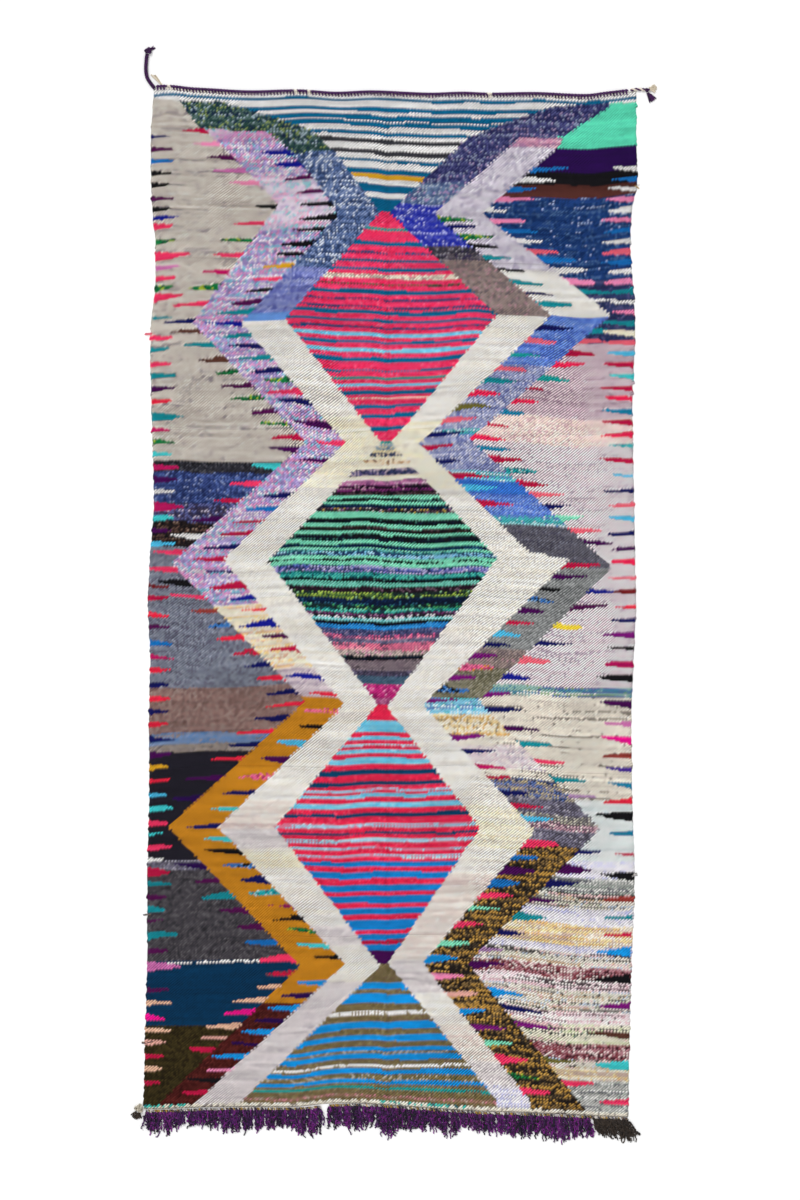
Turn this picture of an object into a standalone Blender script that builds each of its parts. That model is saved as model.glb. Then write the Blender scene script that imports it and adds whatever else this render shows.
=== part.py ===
# Flat-woven rag rug, lying flat, with a twined heading, corner ties and a yarn fringe.
# Metres, +Z up. +Y runs up the rug towards the heading, +X to the weaver's right.
# Each piece is laid out from the rug's own top left corner: "across" runs right, "down" runs
# towards the fringe. At the end the whole rug is moved so that its box stands on the origin.

import math
import random

import bmesh
import bpy
from mathutils import Matrix, Vector

MM = 0.001

# Driving sizes
RUG_WIDTH = 1.450
RUG_LENGTH = 3.036
CLOTH_THICKNESS = 5.0 * MM
CLOTH_LUMP = 0.5 * MM
LUMP_ACROSS, LUMP_DOWN, LUMP_SLANT = 0.70, 1.10, 2.70
CREASE_HEIGHT = 1.2 * MM
CREASE_WIDTH = 30 * MM
CREASE_ACROSS = 0.715
CREASE_WAVE = 1.46
CELLS_ACROSS = 26
CELLS_DOWN = 54

SEAT_GAP = 0.3 * MM

HEADING_DIAMETER = 6.5 * MM
HEADING_STEP = 9 * MM
HEADING_START, HEADING_END = 21.2 * MM, 1441 * MM

STRIP_WIDTH = 9 * MM
STRIP_HEIGHT = 5.6 * MM
LOCK_PITCH = 6.9 * MM
LOCK_WIDTH = 5.0 * MM
LOCK_HEIGHT = 4.2 * MM
LOCK_RINGS = 3
LOCK_TIP_SHARE = 0.55
LOCK_WANDER = 0.7 * MM
LOCK_LENGTH_JITTER = 7 * MM
LOCK_GAP_START, LOCK_GAP_END = 0.515, 0.537

PLAIT_DIAMETER = 12 * MM
PLAIT_STRANDS = 3
PLAIT_LAY = 26 * MM
PLAIT_RIDGE = 0.16
TWIST_DIAMETER = 9.5 * MM
TWIST_STRANDS = 2
TWIST_LAY = 34 * MM
TWIST_RIDGE = 0.30
KNOT_RINGS, KNOT_SIDES = 8, 10
KNOT_BULGE = 0.10
TUFT_LOCK_WIDTH, TUFT_LOCK_GAP = 3.0 * MM, 1.0 * MM
TUFT_HEAD_DEPTH, TUFT_HEIGHT = 5.0 * MM, 4.0 * MM
TUFT_RINGS = 3
TUFT_TIP_SHARE = 0.7
STRAY_RINGS = 3
STRAY_TIP_SHARE = 0.65
ROPE_SIDES = 12
ROPE_STEP = 3 * MM

# Where each selvedge runs, as it moves off the plain rectangle.
# down (m from the heading), left and right (mm, positive to the right)
SELVEDGE = [
    (0.00, 15, 9),
    (0.14, 6, 10),
    (0.28, 7, 12),
    (0.34, 9, -2),
    (0.47, 20, -8),
    (0.59, 18, 1),
    (0.71, 6, 6),
    (0.92, 7, -2),
    (1.22, 15, 3),
    (1.40, 4, 6),
    (1.52, -3, 9),
    (1.67, 4, 2),
    (1.88, 1, -5),
    (2.12, 1, -2),
    (2.33, -4, 4),
    (2.60, -5, -6),
    (2.87, -12, -12),
    (3.036, -15, -15),
]

# How the two ends of the cloth wave.
# across (m from the left), top and bottom (mm, positive towards the heading)
CLOTH_ENDS = [
    (0.00, 12, -12),
    (0.03, 16, -11),
    (0.07, 16, -10),
    (0.12, 10, -8),
    (0.17, 7, -6),
    (0.30, 0, -4),
    (0.45, 3, -4),
    (0.56, -4, 6),
    (0.67, 0, 5),
    (0.84, -7, -7),
    (0.94, -4, -14),
    (1.02, -7, -18),
    (1.16, -5, -22),
    (1.31, -11, -29),
    (1.37, -4, -32),
    (1.45, 5.5, -35),
]

# How far the fringe hangs past its knotted strip.
# across (m from the left), length and sideways lean of the tips (mm)
PURPLE_FRINGE = [
    (-0.012, 56, -14),
    (0.005, 62, -8),
    (0.026, 68, -3),
    (0.068, 66, 0),
    (0.092, 46, 2),
    (0.137, 57, 0),
    (0.167, 49, 0),
    (0.212, 62, 0),
    (0.239, 75, 0),
    (0.287, 67, 0),
    (0.338, 64, 0),
    (0.422, 55, 0),
    (0.452, 80, 0),
    (0.482, 85, 0),
    (0.512, 74, -4),
    (0.540, 74, 4),
    (0.572, 59, 2),
    (0.602, 77, 0),
    (0.638, 73, 0),
    (0.668, 61, 0),
    (0.698, 84, 0),
    (0.734, 90, 0),
    (0.767, 70, 0),
    (0.806, 67, 0),
    (0.848, 57, 0),
    (0.887, 75, 2),
    (0.917, 70, 2),
    (0.938, 42, 2),
    (0.962, 53, 3),
    (1.007, 59, 4),
    (1.052, 61, 4),
    (1.115, 74, 4),
    (1.151, 64, 4),
    (1.220, 78, 5),
    (1.271, 67, 7),
    (1.320, 59, 9),
]
BLACK_FRINGE = [
    (1.329, 53, 10),
    (1.352, 52, 13),
    (1.388, 62, 18),
    (1.412, 70, 24),
    (1.430, 60, 36),
]

# Corner ties, in across and down from the rug's top left corner (mm), chosen by eye
PLAIT_ROUTE = [
    (16, -15),
    (9, -23),
    (1, -34),
    (-6, -46),
    (-9, -60),
    (-10, -76),
    (-9, -92),
    (-8, -106),
    (-6, -117),
]
TWIST_ROUTE = [(1443, -9.3), (1454, -10.4), (1466, -11.3), (1477, -10.9), (1486, -10)]
WARP_ENDS_ROOT = (38, -25)
PURPLE_TUFT_ROOT = (1495.6, -0.9)
CREAM_TUFT_ROOT = (1500.7, -12.8)
TIE_OFF_CENTRE = (-30.4, 3044)
BLACK_TUFT_ROOT = (-35.6, 3058.1)

COLOURS = {
    "rug_cloth": (0.56, 0.50, 0.52),
    "heading_cord": (0.16, 0.05, 0.16),
    "purple_yarn": (0.10, 0.03, 0.15),
    "black_yarn": (0.05, 0.045, 0.04),
    "cream_yarn": (0.72, 0.66, 0.54),
    "grey_yarn": (0.50, 0.48, 0.42),
}


def clear_scene():
    for old in list(bpy.data.objects):
        bpy.data.objects.remove(old)


def smooth_value(table, at, column):
    # Catmull-Rom through one column of a table whose first column is the place
    last = len(table) - 1
    i = 0
    while i < last - 1 and at > table[i + 1][0]:
        i += 1
    start, end = table[i], table[i + 1]
    span = end[0] - start[0]
    t = min(max((at - start[0]) / span, 0.0), 1.0)
    before, after = table[max(i - 1, 0)], table[min(i + 2, last)]
    slope_start = (end[column] - before[column]) / (end[0] - before[0]) * span
    slope_end = (after[column] - start[column]) / (after[0] - start[0]) * span
    return (
        (2 * t**3 - 3 * t**2 + 1) * start[column]
        + (t**3 - 2 * t**2 + t) * slope_start
        + (-2 * t**3 + 3 * t**2) * end[column]
        + (t**3 - t**2) * slope_end
    )


def left_edge(down):
    return smooth_value(SELVEDGE, down, 1) * MM


def right_edge(down):
    return RUG_WIDTH + smooth_value(SELVEDGE, down, 2) * MM


def top_edge(across):
    return smooth_value(CLOTH_ENDS, across, 1) * MM


def bottom_edge(across):
    return smooth_value(CLOTH_ENDS, across, 2) * MM - RUG_LENGTH


def on_cloth(share_across, share_down):
    # The plan position of a point given as shares of the width and length
    down = share_down * RUG_LENGTH
    across = share_across * RUG_WIDTH
    left, right = left_edge(down), right_edge(down)
    top, bottom = top_edge(across), bottom_edge(across)
    return left + share_across * (right - left), top + share_down * (bottom - top)


def cloth_end_at(x, share_down):
    # Where the cloth's first or last weft lies at x, on the straight runs between its corners
    corners = [on_cloth(i / CELLS_ACROSS, share_down) for i in range(CELLS_ACROSS + 1)]
    x = min(max(x, corners[0][0]), corners[-1][0])
    i = 0
    while i < CELLS_ACROSS - 1 and x > corners[i + 1][0]:
        i += 1
    start, end = corners[i], corners[i + 1]
    share = (x - start[0]) / (end[0] - start[0])
    return start[1] + share * (end[1] - start[1])


def fabric(name):
    material = bpy.data.materials.get(name)
    if material:
        return material
    material = bpy.data.materials.new(name)
    material.use_nodes = True
    surface = material.node_tree.nodes["Principled BSDF"]
    surface.inputs["Base Color"].default_value = (*COLOURS[name], 1)
    surface.inputs["Roughness"].default_value = 0.9
    surface.inputs["Metallic"].default_value = 0.0
    return material


def add_piece(name, bm, material):
    mesh = bpy.data.meshes.new(name)
    bmesh.ops.recalc_face_normals(bm, faces=bm.faces)
    bm.to_mesh(mesh)
    bm.free()
    mesh.materials.append(fabric(material))
    piece = bpy.data.objects.new(name, mesh)
    bpy.context.scene.collection.objects.link(piece)
    return piece


def cloth_height(x, y):
    # Uneven beat of the rag weft, and the soft crease where the rug was kept folded lengthwise
    turn = 2 * math.pi
    lump = math.sin(turn * (x / LUMP_ACROSS + y / LUMP_SLANT)) * math.sin(turn * y / LUMP_DOWN)
    from_crease = (x - CREASE_ACROSS) / CREASE_WIDTH
    crease = CREASE_HEIGHT * math.exp(-(from_crease**2)) * (0.7 + 0.3 * math.sin(turn * y / CREASE_WAVE))
    return CLOTH_THICKNESS + CLOTH_LUMP * lump + crease


def make_cloth():
    bm = bmesh.new()
    rows = []
    for j in range(CELLS_DOWN + 1):
        row = []
        for i in range(CELLS_ACROSS + 1):
            x, y = on_cloth(i / CELLS_ACROSS, j / CELLS_DOWN)
            row.append(bm.verts.new((x, y, cloth_height(x, y))))
        rows.append(row)
    for j in range(CELLS_DOWN):
        for i in range(CELLS_ACROSS):
            bm.faces.new((rows[j][i], rows[j + 1][i], rows[j + 1][i + 1], rows[j][i + 1]))
    rim = rows[0] + [row[-1] for row in rows[1:-1]] + rows[-1][::-1]
    rim += [row[0] for row in rows[-2:0:-1]]
    feet = [bm.verts.new((v.co.x, v.co.y, 0)) for v in rim]
    for k, v in enumerate(rim):
        after = (k + 1) % len(rim)
        bm.faces.new((v, rim[after], feet[after], feet[k]))
    bm.faces.new(feet)
    return add_piece("rug_cloth", bm, "rug_cloth")


def make_heading_cord():
    # The purple and cream twining that locks the first weft, laid along the cloth's top edge
    radius = HEADING_DIAMETER / 2
    steps = round((HEADING_END - HEADING_START) / HEADING_STEP)
    curve = bpy.data.curves.new("heading_cord", "CURVE")
    curve.dimensions = "3D"
    curve.bevel_depth = radius
    curve.bevel_resolution = 2
    curve.use_fill_caps = True
    line = curve.splines.new("POLY")
    line.points.add(steps)
    for k in range(steps + 1):
        x = HEADING_START + (HEADING_END - HEADING_START) * k / steps
        line.points[k].co = (x, cloth_end_at(x, 0) + SEAT_GAP * 2 + radius, radius, 1)
    curve.materials.append(fabric("heading_cord"))
    piece = bpy.data.objects.new("heading_cord", curve)
    bpy.context.scene.collection.objects.link(piece)
    return piece


def add_ring(bm, points):
    return [bm.verts.new(p) for p in points]


def bridge(bm, first, second):
    for k in range(len(first)):
        after = (k + 1) % len(first)
        bm.faces.new((first[k], first[after], second[after], second[k]))


def lock_ring(x, y, half_width, height):
    return [
        (x - half_width, y, 0),
        (x + half_width, y, 0),
        (x + half_width, y, height),
        (x - half_width, y, height),
    ]


def grow_lock(bm, root, length, lean, draw):
    # One four-sided lock of yarn, grown from its root on the strip's wall, level on the floor
    x = (root[0].co.x + root[1].co.x) / 2
    y = (root[0].co.y + root[1].co.y) / 2
    ring = root
    for k in range(1, LOCK_RINGS + 1):
        share = k / LOCK_RINGS
        size = 1 - (1 - LOCK_TIP_SHARE) * share
        side = lean * share**1.4 + draw.uniform(-LOCK_WANDER, LOCK_WANDER)
        place = lock_ring(x + side, y - length * share, LOCK_WIDTH / 2 * size, LOCK_HEIGHT * size)
        grown = add_ring(bm, place)
        bridge(bm, ring, grown)
        ring = grown
    bm.faces.new(ring)


def make_fringe(name, table, material, seed):
    # A knotted strip just clear of the cloth's end, with every lock fused to it at its root
    draw = random.Random(seed)
    bm = bmesh.new()
    first, last = table[0][0], table[-1][0]
    count = round((last - first) / LOCK_PITCH)
    pitch = (last - first) / count
    stations = []
    for k in range(count + 1):
        middle = first + k * pitch
        stations += [middle - LOCK_WIDTH / 2, middle + LOCK_WIDTH / 2]
    previous = None
    for number, across in enumerate(stations):
        inner = cloth_end_at(across, 1) - SEAT_GAP * 2
        outer = inner - STRIP_WIDTH
        section = add_ring(
            bm,
            [
                (across, inner, 0),
                (across, outer, 0),
                (across, outer, LOCK_HEIGHT),
                (across, outer + STRIP_WIDTH * 0.25, STRIP_HEIGHT),
                (across, inner, STRIP_HEIGHT * 0.8),
            ],
        )
        if previous is None:
            bm.faces.new(section)
        else:
            has_lock = number % 2 == 1 and not LOCK_GAP_START < across < LOCK_GAP_END
            for k in range(len(section)):
                after = (k + 1) % len(section)
                if k == 1 and has_lock:
                    root = [previous[1], section[1], section[2], previous[2]]
                    middle = across - LOCK_WIDTH / 2
                    length = smooth_value(table, middle, 1) * MM
                    length += draw.uniform(-LOCK_LENGTH_JITTER, LOCK_LENGTH_JITTER)
                    grow_lock(bm, root, length, smooth_value(table, middle, 2) * MM, draw)
                else:
                    bm.faces.new((previous[k], previous[after], section[after], section[k]))
        previous = section
    bm.faces.new(previous)
    return add_piece(name, bm, material)


def smooth_route(points, step):
    # Even points about one step apart on a smooth curve through the route's own points
    table = []
    along = 0.0
    for k, (across, down) in enumerate(points):
        if k:
            along += math.dist(points[k - 1], points[k])
        table.append((along, across, down))
    count = max(2, round(along * MM / step))
    route = []
    for k in range(count + 1):
        at = along * k / count
        route.append(Vector((smooth_value(table, at, 1), -smooth_value(table, at, 2), 0)) * MM)
    return route


def make_rope(name, route, diameter, strands, lay, ridge, material):
    # A plied rope lying on the floor, its twist raised in the points of each section
    bm = bmesh.new()
    radius = diameter / 2
    previous = None
    along = 0.0
    for k, place in enumerate(route):
        ahead = route[min(k + 1, len(route) - 1)] - route[max(k - 1, 0)]
        side = Vector((ahead.y, -ahead.x, 0)).normalized()
        if k:
            along += (place - route[k - 1]).length
        ring = []
        for n in range(ROPE_SIDES):
            angle = 2 * math.pi * n / ROPE_SIDES
            crown = math.cos(strands * (angle - 2 * math.pi * along / lay))
            reach = radius * (1 - ridge * (0.5 - 0.5 * crown))
            rise = Vector((0, 0, radius + reach * math.sin(angle)))
            ring.append(place + side * reach * math.cos(angle) + rise)
        section = add_ring(bm, ring)
        if previous is None:
            bm.faces.new(section)
        else:
            bridge(bm, previous, section)
        previous = section
    bm.faces.new(previous)
    return add_piece(name, bm, material)


def grow_strand(bm, root_face, heading, length, lowest, bend):
    # A loose yarn end grown out of one face of a knot and let down to the floor
    ring = list(root_face.verts)
    middle = root_face.calc_center_median()
    offsets = [v.co - middle for v in ring]
    bm.faces.remove(root_face)
    for k in range(1, STRAY_RINGS + 1):
        share = k / STRAY_RINGS
        turned = Matrix.Rotation(bend * share, 3, "Z") @ heading
        place = middle + turned * length * share
        place.z = middle.z + (lowest - middle.z) * share
        size = 1 - (1 - STRAY_TIP_SHARE) * share
        grown = add_ring(bm, [place + offset * size for offset in offsets])
        bridge(bm, ring, grown)
        ring = grown
    bm.faces.new(ring)


def make_knot(name, centre, direction, sizes, wraps, material, ends=()):
    # A rounded knot of yarn: length along its direction, width and height, with raised wraps
    # ends lists the loose ends: turn from the direction (degrees), length, bend (radians)
    length, width, height = sizes
    bm = bmesh.new()
    near_pole = bm.verts.new((-length / 2, 0, 0))
    far_pole = bm.verts.new((length / 2, 0, 0))
    sections = []
    for k in range(1, KNOT_RINGS):
        along = math.pi * k / KNOT_RINGS
        ring = []
        for n in range(KNOT_SIDES):
            angle = 2 * math.pi * n / KNOT_SIDES
            spread = math.sin(along) * (1 + KNOT_BULGE * math.cos(wraps * along * 2 + angle))
            y = width / 2 * spread * math.cos(angle)
            z = height / 2 * min(spread, 1.0) * math.sin(angle)
            ring.append((-length / 2 * math.cos(along), y, z))
        sections.append(add_ring(bm, ring))
    for n in range(KNOT_SIDES):
        after = (n + 1) % KNOT_SIDES
        bm.faces.new((near_pole, sections[0][after], sections[0][n]))
        bm.faces.new((far_pole, sections[-1][n], sections[-1][after]))
    for first, second in zip(sections, sections[1:]):
        bridge(bm, first, second)
    turn = math.atan2(direction.y, direction.x)
    bm.transform(Matrix.Translation(centre) @ Matrix.Rotation(turn, 4, "Z"))
    bmesh.ops.recalc_face_normals(bm, faces=bm.faces)
    free = [face for face in bm.faces if len(face.verts) == 4]
    for degrees, reach, bend in ends:
        heading = Matrix.Rotation(math.radians(degrees), 3, "Z") @ direction.normalized()
        best = max(free, key=lambda face: face.normal.dot(heading))
        free = [face for face in free if not set(face.verts) & set(best.verts)]
        middle = best.calc_center_median().z
        half_height = max(abs(v.co.z - middle) for v in best.verts)
        grow_strand(bm, best, heading, reach, half_height * STRAY_TIP_SHARE, bend)
    return add_piece(name, bm, material)


def grow_tuft_lock(bm, ring, x, length, turn):
    # One lock of a tuft, curving away from the tuft's middle by the given turn
    for step in range(1, TUFT_RINGS + 1):
        share = step / TUFT_RINGS
        middle = x + math.sin(turn * share) * length * share
        y = -TUFT_HEAD_DEPTH - length * share * math.cos(turn * share)
        size = 1 - (1 - TUFT_TIP_SHARE) * share
        grown = add_ring(bm, lock_ring(middle, y, TUFT_LOCK_WIDTH / 2 * size, TUFT_HEIGHT * size))
        bridge(bm, ring, grown)
        ring = grown
    bm.faces.new(ring)


def make_tuft(name, root, direction, spread, count, length, material, seed):
    # Loose locks of a tassel fused into a small flat head, all level on the floor
    draw = random.Random(seed)
    bm = bmesh.new()
    pitch = TUFT_LOCK_WIDTH + TUFT_LOCK_GAP
    first = -(count * pitch - TUFT_LOCK_GAP) / 2
    previous = None
    for number in range(2 * count):
        lock, side = divmod(number, 2)
        x = first + lock * pitch + side * TUFT_LOCK_WIDTH
        front, top = -TUFT_HEAD_DEPTH, TUFT_HEIGHT
        section = add_ring(bm, [(x, 0, 0), (x, front, 0), (x, front, top), (x, 0, top)])
        if previous is None:
            bm.faces.new(section)
        else:
            for k in range(4):
                after = (k + 1) % 4
                if k == 1 and side == 1:
                    ring = [previous[1], section[1], section[2], previous[2]]
                    turn = spread * (lock / (count - 1) * 2 - 1)
                    reach = length * draw.uniform(0.85, 1.0)
                    grow_tuft_lock(bm, ring, x - TUFT_LOCK_WIDTH / 2, reach, turn)
                else:
                    bm.faces.new((previous[k], previous[after], section[after], section[k]))
        previous = section
    bm.faces.new(previous)
    turn = math.atan2(direction.y, direction.x) + math.pi / 2
    bm.transform(Matrix.Translation(root) @ Matrix.Rotation(turn, 4, "Z"))
    return add_piece(name, bm, material)


def at(place):
    # A point on the floor from its across and down in millimetres
    across, down = place
    return Vector((across, -down, 0)) * MM


def make_left_corner():
    # The heading's left ends, plaited and knotted, and the bare warp ends beside them
    route = smooth_route(PLAIT_ROUTE, ROPE_STEP)
    make_rope("corner_plait", route, PLAIT_DIAMETER, PLAIT_STRANDS, PLAIT_LAY, PLAIT_RIDGE, "purple_yarn")
    direction = Vector((0.31, 0.95, 0))
    length, width, height = 27 * MM, 21 * MM, 13 * MM
    centre = route[-1] + direction * (length / 2 + SEAT_GAP * 2) + Vector((0, 0, height / 2))
    stray_ends = [(-62, 9 * MM, -0.3), (-20, 5 * MM, 0.2)]
    make_knot("corner_knot", centre, direction, (length, width, height), 3, "purple_yarn", stray_ends)
    up_left = Vector((-0.66, 0.75, 0))
    make_tuft("warp_ends", at(WARP_ENDS_ROOT), up_left, 0.0, 3, 43 * MM, "cream_yarn", 5)


def make_right_corner():
    # The heading's right ends, twisted, knotted and left as two tufts
    route = smooth_route(TWIST_ROUTE, ROPE_STEP)
    make_rope("corner_twist", route, TWIST_DIAMETER, TWIST_STRANDS, TWIST_LAY, TWIST_RIDGE, "purple_yarn")
    direction = Vector((0.99, -0.14, 0))
    length, width, height = 14 * MM, 17 * MM, 12 * MM
    centre = route[-1] + direction * (length / 2 + SEAT_GAP * 2) + Vector((0, 0, height / 2))
    make_knot("tie_knot", centre, direction, (length, width, height), 2, "purple_yarn")
    down_right = Vector((0.52, -0.85, 0))
    make_tuft("purple_tuft", at(PURPLE_TUFT_ROOT), down_right, 0.25, 4, 27 * MM, "purple_yarn", 7)
    right = Vector((1, -0.05, 0))
    make_tuft("cream_tuft", at(CREAM_TUFT_ROOT), right, 0.4, 3, 18 * MM, "cream_yarn", 8)


def make_bottom_corner():
    # Where the weaver tied off the last weft at the bottom left
    length, width, height = 31 * MM, 30 * MM, 14 * MM
    centre = at(TIE_OFF_CENTRE) + Vector((0, 0, height / 2))
    up = Vector((0.1, 1, 0))
    make_knot("tie_off_knot", centre, up, (length, width, height), 3, "grey_yarn")
    down_left = Vector((-0.3, -0.95, 0))
    make_tuft("black_tuft", at(BLACK_TUFT_ROOT), down_left, 0.35, 5, 15 * MM, "black_yarn", 9)


def stand_on_origin(left_out):
    # Moves the rug so that the middle of its box's underside is the origin
    graph = bpy.context.evaluated_depsgraph_get()
    graph.update()
    pieces = list(bpy.data.objects)
    points = []
    for piece in pieces:
        if piece.name not in left_out:
            solid = piece.evaluated_get(graph)
            points += [v.co.copy() for v in solid.to_mesh().vertices]
            solid.to_mesh_clear()
    middle_x = (min(p.x for p in points) + max(p.x for p in points)) / 2
    middle_y = (min(p.y for p in points) + max(p.y for p in points)) / 2
    rug = bpy.data.objects.new("rug", None)
    bpy.context.scene.collection.objects.link(rug)
    for piece in pieces:
        piece.parent = rug
    rug.location = (-middle_x, -middle_y, 0)


def main():
    clear_scene()
    make_cloth()
    make_heading_cord()
    make_fringe("purple_fringe", PURPLE_FRINGE, "purple_yarn", 11)
    make_fringe("black_fringe", BLACK_FRINGE, "black_yarn", 12)
    make_left_corner()
    make_right_corner()
    make_bottom_corner()
    stand_on_origin(left_out=("corner_plait", "corner_knot"))


main()
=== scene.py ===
# Boucherouite rug: woven rag cloth, twined heading, knotted fringes and corner ties
import math

import bpy
import numpy as np
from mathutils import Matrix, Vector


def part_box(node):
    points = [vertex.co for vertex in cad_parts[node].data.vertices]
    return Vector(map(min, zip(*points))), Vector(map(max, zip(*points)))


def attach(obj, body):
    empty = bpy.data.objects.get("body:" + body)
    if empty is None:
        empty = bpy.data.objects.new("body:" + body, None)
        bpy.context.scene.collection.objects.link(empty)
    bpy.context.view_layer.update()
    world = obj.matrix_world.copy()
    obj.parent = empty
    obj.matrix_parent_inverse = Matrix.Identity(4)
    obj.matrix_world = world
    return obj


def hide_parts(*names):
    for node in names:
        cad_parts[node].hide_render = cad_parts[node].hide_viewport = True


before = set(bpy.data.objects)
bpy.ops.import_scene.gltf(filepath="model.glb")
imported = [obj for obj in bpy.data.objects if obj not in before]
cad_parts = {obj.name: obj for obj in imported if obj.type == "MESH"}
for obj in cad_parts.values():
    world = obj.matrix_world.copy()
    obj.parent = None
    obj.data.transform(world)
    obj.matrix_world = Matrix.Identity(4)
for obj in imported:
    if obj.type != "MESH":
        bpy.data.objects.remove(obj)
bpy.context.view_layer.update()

mm, cm = 0.001, 0.01
view = bpy.context.view_layer


def linear(code):  # sRGB hex to linear light
    parts = [int(code[k:k + 2], 16) / 255 for k in (0, 2, 4)]
    return [p / 12.92 if p <= 0.04045 else ((p + 0.055) / 1.055) ** 2.4 for p in parts]


def addNode(tree, kind, settings=(), links=()):
    node = tree.nodes.new(kind)
    values = dict(settings)
    for key in [k for k in values if isinstance(k, str) and hasattr(node, k)]:
        setattr(node, key, values.pop(key))
    for key, value in values.items():
        node.inputs[key].default_value = value
    for key, source in dict(links).items():  # a node stands for its first output
        socket = source.outputs[0] if isinstance(source, bpy.types.Node) else source
        tree.links.new(socket, node.inputs[key])
    return node


def smoothValues(table, column, at):  # a smooth line through one column of a table
    places = np.array([row[0] for row in table], float)
    values = np.array([row[column] for row in table], float)
    at = np.asarray(at, float)
    k = np.clip(np.searchsorted(places, at) - 1, 0, len(places) - 2)
    before, after = np.maximum(k - 1, 0), np.minimum(k + 2, len(places) - 1)
    span = places[k + 1] - places[k]
    t = np.clip((at - places[k]) / span, 0, 1)
    slopeIn = (values[k + 1] - values[before]) / (places[k + 1] - places[before]) * span
    slopeOut = (values[after] - values[k]) / (places[after] - places[k]) * span
    return (
        (2 * t**3 - 3 * t**2 + 1) * values[k]
        + (t**3 - 2 * t**2 + t) * slopeIn
        + (3 * t**2 - 2 * t**3) * values[k + 1]
        + (t**3 - t**2) * slopeOut
    )


# The rug's plan: across from its top left corner and down towards the fringe, both in cm
rug = {
    "width": 145.0, "length": 303.6, "thickness": 0.5,
    "warps": 301, "picks": 756, "sections": 6,  # a warp each 4.8 mm, a pick of weft each 4 mm
    "backWarps": 4, "backPicks": 2,  # the unseen side has a vertex at each 4th warp and 2nd pick
    "bead": 0.045, "lump": 0.04,  # rise of a weft bead over its warp, and of the cloth's lumps
    "waveHigh": 1.05, "waveWide": 34.0, "waveLong": 30.0,  # how the picks rise and fall
    "ragged": 0.16,  # stripes swell and thin by this much
    "edgeRound": (0.16, 0.40, 0.47),  # heights of the outer warps at a selvedge
    "edgeTeeth": 0.2,
    "beadShade": 1.17, "gapShade": 0.36,  # painted light on a bead's crown and painted shade in the gap beside it
    "dyeDepth": 1.11, "dyeGain": 1.15,  # deepens the dark yarns and lifts the light ones
    "crease": (71.5, 1.5, 0.1),  # across, half width and height of the fold down the middle
    "foldWide": 2.2, "foldShare": 0.4,  # the picks dip this near the fold, and this much
    "calmEnds": 9.0,  # the picks run straight this near the two ends
    "looseFine": (8, 0.9, 0.2), "looseBroad": (20, 9, 0.16),  # how wide, long and strong the beat's looseness varies, which deepens the gaps' painted shade
    "darkGapFactor": 0.3, "paintedFoldShade": (0.16, 0.45),  # how much more a darkened gap is darkened, and how dark and how wide the painted shade along the fold is
}
# down, left edge and right edge (mm past the nominal sides)
selvedges = [
    (0, 15, 9), (14, 6, 10), (28, 7, 12), (34, 9, -2), (47, 20, -8), (59, 18, 1),
    (71, 6, 6), (92, 7, -2), (122, 15, 3), (140, 4, 6), (152, -3, 9), (167, 4, 2),
    (188, 1, -5), (212, 1, -2), (233, -4, 4), (260, -5, -6), (287, -12, -12), (303.6, -15, -15),
]
# across, top end and bottom end (mm, towards the heading)
clothEnds = [
    (0, 12, -12), (3, 16, -11), (7, 16, -10), (12, 10, -8), (17, 7, -6), (30, 0, -4),
    (45, 3, -4), (56, -4, 6), (67, 0, 5), (84, -7, -7), (94, -4, -14), (102, -7, -18),
    (116, -5, -22), (131, -11, -29), (137, -4, -32), (145, 5.5, -35),
]
# down (cm), how far the picks dip at the fold (cm)
foldDips = [(0, 0.5), (25, 0.9), (50, 0.4), (90, 0.5), (130, 0.1), (200, -0.2), (260, 0.4), (303.6, 0.9)]
# down, how far the picks rise (cm) at the middle five of these places across
riseAcross = (18, 44, 57, 71, 84, 98, 125)
pickRises = [
    (0, 0.5, 0.3, 0.3, 0.2, 0), (12, 1.2, 1.6, 0.4, 0.1, -0.4), (24, 0.6, 2, 1, 0.1, -0.4),
    (36, 0.6, 1.6, 1, 0.5, 0), (50, 0.5, 0.2, 0, 0.6, 0.6), (70, 0.9, 0.2, -0.3, 1, 2.1),
    (86, 1.4, 0, 0.2, 1.7, 3.2), (104, 0.8, -0.4, 0.5, 1.2, 2), (125, 0.6, 0.5, 0, 0.8, 1),
    (158, 1.6, -0.3, -0.1, 1.8, 3.4), (175, 1.4, -0.6, -0.3, 1.5, 1.8), (195, 0.9, -0.3, 0, 1.3, 1.5),
    (212, 0.3, -0.3, 0.1, 1.8, 3), (235, 0.5, -0.3, 0.2, 1.2, 2.2), (258, 0.2, -0.2, 0.2, 0.9, 1.2),
    (282, -1.2, 0, 0.5, 1.9, 2.6), (303.6, 0.3, 0.5, 0.5, 1, 1),
]
clothLow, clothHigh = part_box("rug_cloth")
planLeft = clothLow.x / cm - min(row[1] for row in selvedges) * mm / cm
planTop = clothHigh.y / cm - max(row[1] for row in clothEnds) * mm / cm


def placed(across, down, height=0.0):  # a plan point in metres
    x, y, z = np.broadcast_arrays(planLeft + across, planTop - down, height)
    return np.stack([x, y, z], axis=-1) * cm


def clothDown(across, share):  # where a straight pick lies, as cm down
    top = -smoothValues(clothEnds, 1, across) * 0.1
    bottom = rug["length"] - smoothValues(clothEnds, 2, across) * 0.1
    return top + share * (bottom - top)


draw = np.random.default_rng(41)


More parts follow.
